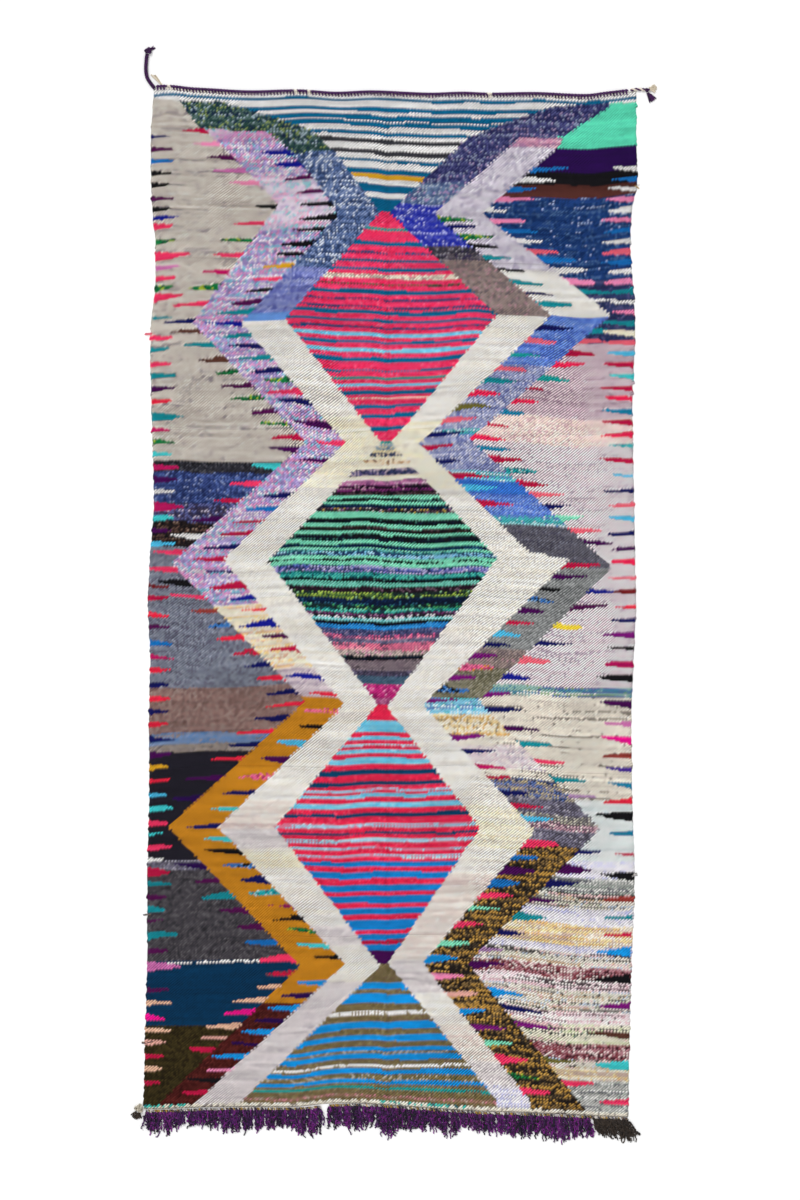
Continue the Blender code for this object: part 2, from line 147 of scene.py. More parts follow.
def wavyField(across, down, wide, long):  # smooth noise from -1 to 1 over the plan
    grid = draw.uniform(-1, 1, (int(340 / long) + 4, int(170 / wide) + 4))
    u, v = (across + 10) / wide, (down + 10) / long
    i, j = np.floor(u).astype(int), np.floor(v).astype(int)
    s, t = u - i, v - j
    s, t = s * s * (3 - 2 * s), t * t * (3 - 2 * t)
    upper = grid[j, i] * (1 - s) + grid[j, i + 1] * s
    lower = grid[j + 1, i] * (1 - s) + grid[j + 1, i + 1] * s
    return upper * (1 - t) + lower * t


# Yarn colours. A plain yarn is one colour. A mixed one is torn from several rags: its line gives
# how far a pick keeps to one colour, the warps that a fleck runs over, and each colour with its
# share. Where the warps are 0, a fleck is one bead and the gap beside it is darkened much more.
plainWords = """
    white dedcda  cream e8dcc4  coral f23c68  salmon f4687a  pinkRed ee2a58  crimson b81a48
    red e42a48  darkRed 7c2428  brownRed 98403a  teal 1c8a94  tealBlue 1f82a4  tealGreen 1c9490
    petrol 0a668c  darkPetrol 0b4466  turquoise 45c3c6  lightBlue 52b8dc  coolBlue 3c74c8  blue 1c70b4
    brightBlue 1a80c2  lakeBlue 1892d6  royal 1a2090  navy 16185c  black 17161a  plum 561450
    purple 4a0a54  darkPurple 2e0c50  magentaPurple 7c1c78  magenta bc1c64  hotMagenta ee1890
    mauvePink c470a8  mauve a984ae  pink f08ab0  dusty cf9d92  peach e2b69c  gold d0a028
    yellow e8cc40  brown 5c3a30  violet 4c2c94  mustard c08424  brownMaroon 58322c  deepTeal 063858
    charcoal 3a3a40  nearBlack 26242e  mintField 62d6b4  mint 84d8b8  olive 706a34  softPeri 6c98d8
""".split()
plainYarns = dict(zip(plainWords[0::2], plainWords[1::2]))
mixedWords = """
    green 0.2 1 1c7c44 5 a4b83c 1 1c4c34 2
    checkBeige 0.5 0 dcd4ca 5 cec5bb 4 bab0a7 3 948c90 1
    charcoalMix 0.3 1 34343c 5 4c4c54 2 26262c 2
    denimMix 0.3 2 3c4c80 5 2a3560 3 7c88ac 1 5468a0 2
    duskMix 0.5 3 5c6090 3 30304c 2 a8a0b0 1 443c54 2
    brownBlack 0.4 3 2a2220 4 17141a 4 5a443c 2 8a7264 1
    slateMix 0.2 1 747886 5 868a96 3 605f70 2
    taupeMauve 0.2 1 8a706a 5 765c58 2 98847e 2
    stormMix 0.6 5 7c8ca8 3 5c7ca4 3 8c8080 2
    greyTaupe 0.3 2 94887e 4 7c7270 2 a09690 2
    warmGrey 0.2 1 4a474c 6 5c585c 3 3a373c 2
    dottedLine 0.0 1 e9e6e2 3 04304e 1
    darkLeaf 0.35 1 2c4844 4 4c6460 3 24344c 3 7c8c58 2 8c9ca4 2
    denimWhite 0.4 1 566c98 4 7c8cb0 3 bcc4d2 3 38496f 3
    periMix 0.5 2 7c84bc 4 989ec8 3 5860a0 2
    creamMix 0.8 5 eae6de 6 e4ded2 3 dcd6d0 2 d0ccc8 1
    warmCream 0.8 5 eae2cc 6 e6dabc 2 e2dcd0 3 d4ccbc 1
    greyCream 0.7 3 d4cccc 5 c6bec0 3 b4acb0 1 dcd6d4 3
    palePinkCream 0.8 5 e4d8d0 5 d6c8c0 3 c8b4b0 1 e6dfd6 3
    lilacTop 0.4 2 c498c0 4 d084b0 3 d0c0d0 2 80b4c4 1
    lilacMix 0.4 2 ac9ccc 4 cc8cb4 3 80b4c8 2 8c7cac 2 d8d0d8 3
    paleLilacMix 0.4 2 dcd0dc 4 c4b0cc 3 e0a0bc 1 90c4cc 1
    candyMix 0.75 4 e6dcc4 5 e6c488 2 d2a894 1 ccc8b8 1 dcd0c4 2
    mauveLilac 0.7 2 c0b0b8 4 ccc0c4 3 a494a4 1
    maroonMix 0.2 1 501f1c 6 5e2824 3 3e1512 2
    oliveMix 0.2 1 383018 6 443a1e 3 2c2412 2
    nightMix 0.45 1 4a4c7a 4 30305c 3 7c829c 2 8c7c9c 1
    fogMix 0.3 1 64789a 4 4c5c84 3 9ca8b8 2 9c84a8 1
    royalWhite 0.5 1 3038a8 5 9ca0d0 2 5058b4 3
    darkMix 0.4 3 3a3842 4 5c545c 2 7c7880 1 3c3450 1
    taupeMix 0.3 1 8c7c78 4 9c8c88 2 a8848c 1 74686a 2
    orchidMix 0.4 3 c890a8 3 a87ca0 3 dcb8c4 2
    paleSpeckle 0.2 1 c8c0cc 4 d8d4dc 3 a8a0b4 2
    periLilac 0.5 3 5c7cc8 4 7090d0 3 90a4d4 1 4c68b8 2
    greyPeri 0.4 2 868cb2 4 9ca2c2 3 bcbccc 2 6870a2 2
    tealFleck 0.7 3 ccd4dc 2 48a8ac 3 98c8cc 2 5c84b8 2
    slate 0.3 1 5e5c66 5 6c6c78 2 4c4a58 2
    greyMix 0.2 1 888a8a 5 989a9a 3 767878 2
    oliveGrey 0.3 1 7c7864 4 908c7c 3 64624f 2
    poolMix 0.7 4 84c0d8 3 c8dce4 2 58b8c0 2 5c84bc 1
    orangeCream 0.5 2 e0c898 3 e4dac8 4 cca05c 1 8c7c68 1
    dotsPink 0.5 2 d8c4c8 3 ccc0c8 3 a498a8 1 e4dcd8 3
    inkMix 0.6 4 6074a8 3 8c8490 3 a09888 2 384468 2 c0b088 1
    greyLilac 0.5 2 767284 4 9894a0 2 56525f 3
    mossWhite 0.5 2 aca898 3 7c7878 2 c8c4b8 2 544c58 1
    roseMix 0.5 2 a88490 3 c8a8b0 2 6c5464 2 d8ccc8 1
    tigerMix 0.55 2 26201c 5 ac8644 3 7c6440 3 c49c54 1 443a2e 3
    navyFleck 0.5 3 24447c 7 1a3462 3 46648f 2 8c9cbc 1
    inkCharcoal 0.4 3 343e68 4 2c3458 3 54547c 2
    mauveField 0.5 0 d4c0c8 5 dccacf 3 c8b0bb 3 a88c9c 1
    pinkLilac 0.3 2 ead2c8 4 e4c8c8 3 ecd8d0 3 ccacb0 1
    dottedLilac 0.5 0 f0e4e6 5 e8dade 4 e2d2d8 3 b8a8b6 1
    lineSpeckle 0.85 4 8cb0a8 3 4c84a0 2 d4d4cc 2 7c9c6c 1 5c6ca0 2
    fieldCream 0.8 4 e2dacc 6 d8cfc2 3 c4bab0 1 807870 1
    paleMoss 0.8 5 d6dedc 5 e0e4e2 4 c4d0d4 1
    periStreak 0.75 5 d8d4de 5 b8b8d8 2 e2dee2 3
    yellowStreak 0.75 2 e2cc9c 4 dcb478 1 e6dccc 3 c8b0a4 2
    maroonSpeckle 0.5 2 84444c 3 a87880 3 d4c4c0 2 4c2830 2
    pinkStreak 0.75 4 dcc8cc 4 c8a0a8 1 e8e0dc 3 8c7078 1 54484c 1
    confetti 0.75 4 dcd6cc 5 c4c4b0 1 d4b4b4 1 b4c0d0 1 c4a88c 1 7c7874 1 484444 1
    limeConfetti 0.75 3 dcd8c4 4 c0c8a0 2 d4b8b4 1 808c80 1 d4ccbc 2 404440 1
    greyConfetti 0.75 3 b4b4b0 4 8c908c 2 d4d4d0 3 a8b0a8 1 686870 1
    poolGrey 0.3 2 8ca0b0 3 b0b8b0 2 586c88 2 c8b898 1
    creamOlive 0.3 3 dcd0ac 4 ccbc94 3 988858 1
    beigeNavy 0.3 2 c8bca8 3 3c4460 3 a09484 1
    peachDots 0.3 2 e0c4a4 4 b89470 2 e8d8c0 3 806050 1
    nightSpeck 0.3 2 3c4468 4 5c5480 2 a898a8 1 283050 2
    orchid 0.6 3 b870a0 4 c48cb0 2 84507c 2 d0b0c0 1
    plumInk 0.6 3 582454 3 201624 4 742c68 2 a87c94 1
    carnival 0.3 1 28242c 5 ac9048 1 845888 1 b0a8a4 1 54444c 3
    mintMix 0.3 2 80d4b4 5 8cd8bc 2 70c4a8 2
    brownInk 0.6 2 30211e 4 16161c 5 503c44 2
    inkBlack 0.6 2 0c141c 6 101c30 3 201a20 2 3c6c64 1
    navyInk 0.6 2 0e284c 5 0a1a34 5 2c5c78 1
    tealDusk 0.4 2 2f7480 3 1c4458 3 5ca4a8 2
    skyInk 0.4 3 7cb4d4 3 283c64 3 a0c8dc 2
    blackDots 0.0 1 14161a 3 74b89c 1
    violetDots 0.6 2 a8a4cc 3 5460ac 3 8880b8 2 28305c 2
    lilacPale 0.6 2 a89cc4 4 7c74b0 2 c8c0d4 1 3c4870 2
    tealSpark 0.6 2 2c9490 4 50b4a4 2 1c6c70 2 1c3c48 2
    seaDust 0.3 1 6cbca8 5 7cc4b4 3 5ca494 2
    plumBlack 0.3 1 2c1a28 4 1c161e 4 68505f 1
    limeMix 0.6 2 94ac50 2 70883c 2 48683c 2 1c2c2c 3 8cb890 1
    jungleMix 0.6 2 3c8c5c 3 7ca05c 1 286c60 2 182c30 3 74c0a0 1
    plumDust 0.3 1 6c3464 3 38243c 3 8c6c88 2
    pepper 0.0 1 c8c4c8 1 24242c 1
    iceTeal 0.3 2 8cd0d0 4 9cd8d8 2 70c0c4 2
    riverBlue 0.3 2 2c84c4 5 4090c8 2 2070b0 2
    duskBlue 0.3 1 4a5078 4 646488 2 363a60 3 847494 1
    roseYarn 0.6 2 d0608c 4 e088a0 2 945c84 2 5c4464 2
    heatherGrey 0.3 2 686480 4 4c506c 3 888094 2
    salmonRose 0.6 2 dc7490 4 e098a4 2 b0607c 2 6c5068 1
    beigeRose 0.2 2 bcaca4 4 988888 3 c490a4 1 707068 1
    twillTaupe 0.5 0 908288 5 807078 3 746670 4 5c5058 1
    duskInk 0.3 2 50485c 4 3a384c 3 68607c 2
    slateSea 0.3 1 4a6478 5 587488 2 3c546c 2 64788c 1
    magentaSpark 0.3 1 b82c78 5 cc5490 2 942464 2 d88cb0 1
    magentaDust 0.3 1 9c4c78 4 b06c90 3 843c68 2
    skyMix 0.4 3 70c0dc 5 8ccce0 2 5cb4d4 1
    dimSkyMix 0.8 4 98c0d4 3 cc7c94 2 b0d4e0 1
    creamFleck 0.4 3 e0d4c0 4 ece0cc 2 a89c94 2 e8808c 1
    greenThread 0.3 2 2c6448 3 20443c 2 98484c 1
    petrolPink 0.5 2 1c4c78 4 48406c 2 b83c64 1
    coralMix 0.2 1 f23f6c 8 f66284 1 dc2c58 3
    deepCoral 0.2 1 e62e54 8 ee506c 1 cc2448 3
    oliveWorn 0.2 2 7c6e4a 7 6c6042 3 8c8060 2 786450 2
    oliveFleck 0.3 2 7c6e4a 6 a8a090 2 5c5c40 1
    twinedCream 0.1 1 e4dccc 5 cfc8bc 2 8c8480 1
    twinedTeal 0.1 1 e0dccc 4 46b4a8 3 2c6c74 1
    whiteTeeth 0.5 1 f0ece8 6 94886c 1
    pinkDots 0.1 1 8c6c5c 4 b87c84 2 a89488 1
    blueSpeckle 0.1 1 3c74b4 3 16161e 2 84a4c4 1
    pinkSpeckle 0.1 1 e86c94 3 c8842c 1 b0386c 1
    plumSpeckle 0.1 1 8c2458 3 c68420 1
    tealSpeckle 0.1 1 2ca4a8 3 a8c8c8 1 1c6c7c 1
    crimsonSpeckle 0.1 1 b81c40 3 6c4450 1
""".strip().splitlines()
mixedYarns = {}
for line in mixedWords:
    name, streak, grain, *shares = line.split()
    mixedYarns[name] = (float(streak), int(grain), shares)
yarnNames = [*plainYarns, *mixedYarns]


def yarnNumber(name):
    return yarnNames.index(name)


# The weaver's chart: each yarn runs down from the number before it, in cm, to the next number.
# A full stop is the chart's first yarn again.
charts = {
    "topHalf": """-9 white 1.4 petrol 2.4 . 4.3 petrol 5.7 . 6.8 petrol 8.5 . 8.9 petrol 10.4 .
        12.0 petrol 13.1 . 14.3 charcoal 15.6 . 17.5 charcoal 19.0 . 20.4 petrol 21.4 . 23.2
        petrol 24.8 gold 26.3 . 27.9 petrol 30.3 . 32.0 petrol""",
    "first": """0 coralMix 40.6 tealGreen 41.5 . 44.6 petrol 46.1 . 47.8 petrolPink 48.5 . 50.1
        petrol 50.9 . 52.4 petrol 53.5 . 54.6 creamFleck 55.9 . 57.3 greenThread 57.8 . 59.1
        petrol 60.5 . 61.8 petrolPink 62.4 . 64.1 petrolPink 64.7 . 65.4 petrol 66.7 . 68.0 petrol
        69.0 . 70.3 petrolPink 71.1 . 72.1 skyMix 73.4 . 74.5 petrol 75.5 . 76.8 skyMix 78.0 .
        79.5 petrol 80.8 . 83.1 petrol 83.8 . 85.3 tealGreen 86.1 . 87.3 skyMix 88.2 . 89.1 petrol
        90.3 . 91.2 creamFleck 91.8 . 93.3 petrol 94.4 . 96.0 petrol 97.3 . 99.9 petrol 101.1 .
        104.0 tealGreen""",
    "second": """0 tealGreen 105.0 poolGrey 106.7 creamOlive 107.9 beigeNavy 108.8 warmCream
        109.8 peachDots 111.2 warmCream 112.6 nightSpeck 114.5 warmCream 116.0 orchid
        117.5 plumInk 119.3 brownInk 120.5 mintMix 121.6 inkBlack 122.5 mintMix 123.4 navyInk
        124.6 carnival 125.8 mintMix 127.9 inkBlack 129.3 mintMix 130.4 brownInk 131.8 mintMix
        132.8 inkBlack 134.8 mintMix 136.0 navyInk 137.0 mintMix 137.7 tealDusk 138.4 skyInk
        139.5 mintMix 140.5 blackDots 141.2 mintMix 142.4 violetDots 143.5 lilacPale
        144.2 tealSpark 146.0 inkBlack 147.1 seaDust 148.4 plumBlack 150.1 limeMix 152.0 navyInk
        153.8 jungleMix 155.3 tealSpark 156.2 plumDust 157.1 pepper 157.9 iceTeal 158.7 inkBlack
        159.7 riverBlue 161.0 duskBlue 162.8 roseYarn 164.0 heatherGrey 165.2 salmonRose
        167.3 beigeRose 168.8 inkBlack 170.1 twillTaupe 173.3 duskInk 174.8 slateSea
        177.1 magentaSpark 181.4 magentaDust""",
    "third": """0 deepCoral 188.0 skyMix 191.6 . 193.0 skyMix 194.0 . 195.2 dimSkyMix 195.8 .
        196.8 skyMix 198.1 . 199.4 skyMix 201.2 . 202.9 darkPetrol 204.6 . 206.5 darkPetrol 207.7
        . 208.6 dimSkyMix 209.4 . 210.1 skyMix 211.3 . 212.8 skyMix 214.4 . 215.9 darkPetrol 217.1
        . 219.1 dimSkyMix 220.4 . 221.8 darkPetrol 222.6 . 223.6 dimSkyMix 224.8 . 226.3 dimSkyMix
        227.0 . 228.5 dimSkyMix 229.4 . 230.5 brightBlue 232.0 . 233.6 brightBlue 235.6 . 237.4
        brightBlue 239.3 . 240.7 brightBlue 242.9 . 244.3 brightBlue 246.2 . 247.9 brightBlue
        250.9 . 252.2 brightBlue 253.9 crimsonSpeckle 255.2 brightBlue 257.5 purple""",
    "bottomHalf": """0 oliveWorn 266.9 lakeBlue 269.2 . 270.5 lakeBlue 273.2 . 275.5 whiteTeeth
        276.6 . 278.8 lakeBlue 280.8 . 282.5 lakeBlue 284.4 . 286.1 lakeBlue 287.3 oliveFleck
        288.2 lakeBlue 290.0 . 291.3 whiteTeeth 292.1 . 292.8 lakeBlue 294.2 oliveFleck 296.0
        lakeBlue 297.0 . 298.0 tealGreen 298.6 . 300.4 pinkDots 301.2 .""",
    "leftField": """-9 checkBeige 110.0 charcoalMix 113.4 denimMix 122.5 duskMix 128.0 brownBlack
        135.5 slateMix 177.8 taupeMauve 191.9 stormMix 195.5 greyTaupe 197.6 nearBlack
        230.0 greyLilac 233.0 warmGrey 259.7 deepTeal 260.0 dottedLine 260.7 deepTeal
        279.5 oliveMix""",
    "leftOuter": """-9 lilacTop 14.0 lilacMix 25.0 paleLilacMix 41.5 lilacMix 153.5 candyMix
        173.6 mauveLilac 182.0 mustard 272.0 maroonMix""",
    "leftInner": """-9 darkLeaf 18.3 denimWhite 53.0 periMix 66.8 softPeri 69.0 creamMix 96 warmCream
        118 creamMix 212 palePinkCream 221 greyCream 227 warmCream 233 creamMix
        250 greyCream 256 creamMix 267 greyCream""",
    "rightInner": """-9 nightMix 27.0 fogMix 33.8 royalWhite 46.4 darkMix 50.6 taupeMix
        67.4 creamMix 100 warmCream 120 creamMix 216 warmCream 228 creamMix 236 palePinkCream
        262 greyCream 272 creamMix 282 palePinkCream 292 greyCream 298 periStreak""",
    "rightOuter": """-9 orchidMix 16.1 paleSpeckle 53.3 creamMix 66.8 periLilac 83.0 greyPeri
        102.8 tealFleck 104.6 greyPeri 115.0 poolMix 117.2 coolBlue 121.0 periLilac 126.8 tealFleck
        129.8 slate 141.8 greyMix 168.2 taupeMix 174.0 oliveGrey 182.6 poolMix 187.7 orangeCream
        194.0 fieldCream 197.0 dotsPink 204.0 fieldCream 206.8 inkMix
        212.6 greyLilac 217.0 mossWhite 219.4 roseMix 221.6 greyLilac 226.4 tigerMix""",
    "rightField": """-9 mintField 16.1 darkPurple 23.4 black 27.4 brownMaroon 31.0 navyFleck
        56.0 inkCharcoal 75.5 mauveField 98.0 pinkLilac 106.4 dottedLilac 179.0 lineSpeckle
        182.0 fieldCream 212.6 paleMoss 230.8 periStreak 236.0 greyConfetti 240.6 confetti
        245.0 periStreak 249.5 yellowStreak 255.5 periStreak 257.5 confetti 261.5 maroonSpeckle
        265.5 pinkStreak 269.0 confetti 275.5 pinkStreak 279.5 limeConfetti 285.5 maroonSpeckle
        290.0 confetti 293.0 yellowStreak 296.0 greyConfetti""",
}
# Turning points of the zigzags, across by down in cm; between them the edges run straight
zigzags = {
    "leftC": """17.0 11.0  28.4 22.1  38.6 33.2  13.0 68.6  46.9 104.4  6.6 140.6  46.9 182.0
        5.6 219.8  45.2 261.5  3.2 302.6""",
    "leftB": """9.2 2.6  15.4 10.6  35.6 11.2  42.8 17.6  55.7 33.6  56.2 36.7  27.5 68.6
        58.7 104.6  22.1 139.6  58.5 183.2  20.6 219.8  58.7 260.9  13.7 302.6""",
    "leftA": """21.8 2.4  33.8 5.9  48.0 10.5  56.3 18.2  69.2 35.6  40.7 67.4  69.6 104.6
        35.6 140.0  68.6 182.9  37.7 219.8  69.2 261.5  27.2 302.6""",
    "rightA": """120.2 4.2  106.8 8.6  95.5 13.2  71.9 35.6  104.3 66.3  72.5 104.6  104.3 139.1
        71.4 183.6  99.2 220.1  71.6 260.6  104.3 302.0""",
    "rightB": """138.3 3.6  124.1 13.0  111.0 13.3  85.3 36.0  120.6 66.3  81.0 104.9  113.6 137.0
        126.0 139.7  82.1 183.1  115.7 221.0  82.1 260.6  114.2 302.0""",
    "rightC": """123.8 13.2  123.6 15.1  99.7 35.7  138.3 66.3  96.2 103.5  138.9 141.8
        98.9 182.0  135.2 220.4  95.6 260.6  130.7 304.4""",
}
# Dashes of bright weft, as sequences that start at each number (cm down) and are spaced evenly
# up to the next one. A full stop is a place left plain; + is a fat dash and - a thin one.
dashes = {
    "leftEdge": """13.1 navy plum blue black black plum 35.0 black royal 39.8 coral green
        49.4 coral+ mauvePink coral- green 61.7 coral+ teal- 73.1 coral teal coral teal purple red
        teal+ 100.7 magenta green turquoise magenta purple white magenta+ turquoise purple lightBlue
        138.8 . 147.5 darkRed- crimson red plum blue magenta red navy red navy red navy
        198.2 purple gold red- lightBlue turquoise 218.7 coral turquoise- coral creamMix- crimson+
        teal plum teal 248.3 plum- teal+ plum 262.1 mauvePink+ 269.0 plum peach hotMagenta peach
        dusty crimson peach crimson- 300.5""",
    "leftC": """11.6 crimson pink plum mauvePink pink . 34.1 black coral green coral magenta green
        coral 67.7 navy brown teal brown green plum green plum green crimson 107.0 purple turquoise
        coral crimson- purple white coral 143.0 coral black coral brownRed- blueSpeckle red
        crimsonSpeckle navy red navy red navy red navy 199.4 red- purple 211.7 darkPurple .
        231.5 darkPurple+ plum teal+ plum plum blue coral+ 263.9 crimsonSpeckle peach- peach
        hotMagenta peach dusty- crimson 291.0""",
    "leftB": """17.3 royal royal plum plum- black black black- black 48.5 black gold coral black-
        plum teal royal teal navy teal navy green coral navy 96.2 . 99.8 purple coral purple .
        120.5 navy blue crimson- crimson navy crimson navy- crimson+ royal red- royal+ plum crimson
        170.0 . 175.4 royal red- pinkSpeckle black- lightBlue purple pinkSpeckle navy turquoise
        219.5 navy turquoise black blueSpeckle navy+ tealSpeckle plumSpeckle 247.7 black green-
        turquoise black- . 266.9 lakeBlue darkPurple lakeBlue darkPurple- lakeBlue darkPurple-
        lakeBlue pink- black crimson 303.6""",
    "rightB": """37.4 green navy green 45.8 black teal black- teal navy- teal . 70.1 navy salmon
        tealGreen salmon teal pinkRed olive salmon navy crimson navy crimson lightBlue crimson
        126.5 . 141.5 crimson purple black- blueSpeckle purple crimson lightBlue navy magentaPurple
        pinkSpeckle magentaPurple blueSpeckle magentaPurple 185.6 . 193.4 magentaPurple navy
        magenta crimson- navy crimson lightBlue . 225.2 coral+ blue purple+ blue+ coral
        244.4 mint coral mint lakeBlue+ pink+ dusty lakeBlue 280.4 magentaPurple mint- coral+ green
        coral 303.6""",
    "rightC": """23.0 blue white blue pink white pink blue white salmon blue white pink teal white-
        65.3 . 71.0 teal salmon crimson pinkRed tealGreen crimson- pinkRed tealBlue crimson- pinkRed
        tealBlue crimson tealSpeckle crimson salmon navy mint salmon purple . 141.5 . . 149.3 royal
        plum yellow navy salmon royal magentaPurple navy purple teal coral teal mauve- 215.6 .
        227.6 navy purple+ navy+ purple teal+ navy mauve purple+ 266.0 . 269.0 lakeBlue+ navy
        magentaPurple 284.0 . 289.7 olive 296.9 coral 303.6""",
    "rightEdge": """22.7 white blue white pink white pink blue white salmon blue white pink teal
        white- pink teal cream salmon 77.9 lightBlue crimson turquoise crimson pinkRed tealBlue
        crimson pinkRed 105.8 tealSpeckle crimson lightBlue- navy salmon lightBlue navy purple-
        pinkRed 145.1 salmon- darkRed red- navy- magentaPurple black- magenta black+ 179.8 .
        183.2 purple+ 189.2 mauvePink hotMagenta+ brownRed violet tealBlue red black+
        221.6 tealBlue- crimson- 235.1 black+ 241.5 brownRed teal- crimson- 257.6 lakeBlue+ black+
        273.8 magentaPurple+ brown+ 291.9 turquoise+ 297.5 . 302.3 coral 304""",
}
dash = {
    "half": {"": (0.88, 0.38), "+": (1.4, 0.3), "-": (0.58, 0.3)},  # at the root, at the tip, cm
    "long": (7.6, 10.8), "leftEdge": (5.4, 7.8), "rightEdge": (7.0, 10.0),
    "jitter": 0.3, "slope": 0.07,
}


def readChart(text):  # where each run starts, and the number of its yarn
    words = text.split()
    names = [words[1] if word == "." else word for word in words[1::2]]
    return np.array(words[0::2], float), np.array([yarnNumber(name) for name in names])


def zigzagAt(name, down):
    numbers = np.array(zigzags[name].split(), float)
    return np.interp(down, numbers[1::2], numbers[0::2])


def readDashes(text):  # (down, yarn, fatness) of each dash in a sequence
    starts, runs = [], []
    for word in text.split():
        if word[0].isdigit():
            starts.append(float(word))
            runs.append([])
        else:
            runs[-1].append(word)
    found = []
    for start, end, run in zip(starts, [*starts[1:], rug["length"]], runs):
        for k, word in enumerate(run):
            fatness = word[-1] if word[-1] in "+-" else ""
            if word != ".":
                found.append((start + (end - start) * k / len(run), word.rstrip("+-"), fatness))
    return found


# The warp and pick grid: where each crossing lies, in cm on the plan
def layGrid():
    share = np.linspace(0, 1, rug["picks"] + 1)[:, None]
    warp = np.linspace(0, 1, rug["warps"])[None, :]
    across = warp * rug["width"]
    down = clothDown(across, share)
    left = smoothValues(selvedges, 1, share * rug["length"]) * 0.1
    right = rug["width"] + smoothValues(selvedges, 2, share * rug["length"]) * 0.1
    place = left + warp * (right - left)
    calm = np.clip(np.minimum(share, 1 - share) * rug["length"] / rug["calmEnds"], 0, 1)
    wave = wavyField(place, down, rug["waveWide"], rug["waveLong"]) * 0.75
    wave += wavyField(place, down, rug["waveWide"] / 2.6, rug["waveLong"] * 0.7) * 0.35
    dip = rug["foldShare"] * np.exp(-(((place - rug["crease"][0]) / rug["foldWide"]) ** 2))
    wave += dip * smoothValues(foldDips, 1, share * rug["length"])
    rises = [0 * share, *(smoothValues(pickRises, k, share * rug["length"]) for k in range(1, 6)), 0 * share]
    rises = np.concatenate(rises, axis=1)
    rise = np.array([np.interp(p, riseAcross, r) for p, r in zip(place, rises)])
    return place, down, down + (wave * rug["waveHigh"] - rise) * calm


def paintChart(place, straight, down):
    yarn = np.zeros(place.shape, int)
    pairDown = down[(np.arange(len(down)) // 2) * 2]  # the edges step by two picks
    step = draw.normal(0, 0.1, (len(down) // 2 + 1, 6)).repeat(2, axis=0)[:len(down)]
    edges = {
        name: zigzagAt(name, pairDown) + step[:, [k]]
        for k, name in enumerate(zigzags)
    }

    ragged = wavyField(place, down, 9, 4) * rug["ragged"] + wavyField(place, down, 15, 14) * 0.12

    def fill(mask, chart, column):
        starts, numbers = readChart(charts[chart])
        rows = straight[:, [int(column / rug["width"] * (rug["warps"] - 1))]] + ragged
        yarn[mask] = numbers[np.clip(np.searchsorted(starts, rows[mask]) - 1, 0, None)]

    everywhere = np.ones(yarn.shape, bool)
    middle = place < rug["width"] / 2
    fill(everywhere, "topHalf", 71)
    below = down > zigzagTop(place)
    fill(below & middle, "leftField", 6)
    fill(below & ~middle, "rightField", 136)
    fill(below & middle & (place > edges["leftC"]), "leftOuter", 30)
    fill(below & ~middle & (place < edges["rightC"]) & (down > 13.2), "rightOuter", 112)
    fill(below & middle & (place > edges["leftB"]), "leftInner", 42)
    fill(below & ~middle & (place < edges["rightB"]), "rightInner", 98)
    inside = (place > edges["leftA"]) & (place < edges["rightA"])
    for chart, high, low in [
        ("topHalf", -9, 35.6), ("first", 35.6, 104.6), ("second", 104.6, 183.2),
        ("third", 183.2, 261.2), ("bottomHalf", 261.2, 320),
    ]:
        fill(inside & below & (down >= high) & (down < low), chart, 71)
    return yarn, edges


def zigzagTop(place):  # the white top runs above this line, and the zigzags start below it
    return np.interp(place, [0, 3, 8, 22, 34, 48, 71, 95, 107, 120, 138, 145],
                     [0.6, 2.0, 2.4, 2.4, 5.9, 10.5, 11, 11, 8.6, 4.2, 3.0, 2.8]) - 0.1


def layDashes(yarn, place, straight, down, edges):
    leftSide = smoothValues(selvedges, 1, down) * 0.1
    rightSide = rug["width"] + smoothValues(selvedges, 2, down) * 0.1
    roots = {
        "leftEdge": (leftSide, 1), "leftC": (edges["leftC"], -1), "leftB": (edges["leftB"], -1),
        "rightB": (edges["rightB"], 1), "rightC": (edges["rightC"], 1), "rightEdge": (rightSide, -1),
    }
    for name, (root, way) in roots.items():
        reach = (place - root) * way  # from the fat end towards the thin one
        for at, kind, fatness in readDashes(dashes[name]):
            long = draw.uniform(*dash.get(name, dash["long"]))
            long *= {"": 1, "+": 1.4 if "Edge" in name else 1.15, "-": 0.9}[fatness]
            fat, thin = np.array(dash["half"][fatness]) * draw.uniform(0.85, 1.15)
            at += draw.uniform(-1, 1) * dash["jitter"]
            slope = draw.uniform(-1, 1) * dash["slope"]
            along = np.clip(reach / long, 0, 1)
            near = (np.abs(down - at) < 0.5) & (np.abs(reach) < 1.5)
            lift = (down - straight)[near].mean() if near.any() else 0
            half = (fat + (thin - fat) * along) * np.sqrt(1 - along**6)
            half += draw.normal(0, 0.1, (len(down) // 2 + 1, 1)).repeat(2, axis=0)[:len(down)]
            within = np.abs(straight + lift - at - slope * reach) < half  # it follows its picks
            yarn[within & (reach > -0.1) & (reach < long)] = yarnNumber(kind)


def layEnds(yarn, place, straight):
    fromTop = straight - clothDown(place, 0.0)
    fromEnd = clothDown(place, 1.0) - straight
    yarn[fromTop < 0.4] = yarnNumber("twinedCream")
    twined = fromEnd < 1.3 + draw.normal(0, 0.12, (1, rug["warps"]))
    yarn[twined] = yarnNumber("twinedCream")
    yarn[twined & ((place < 12) | (np.abs(place - 82) < 13)) & (fromEnd > 0.6)] = yarnNumber("twinedTeal")
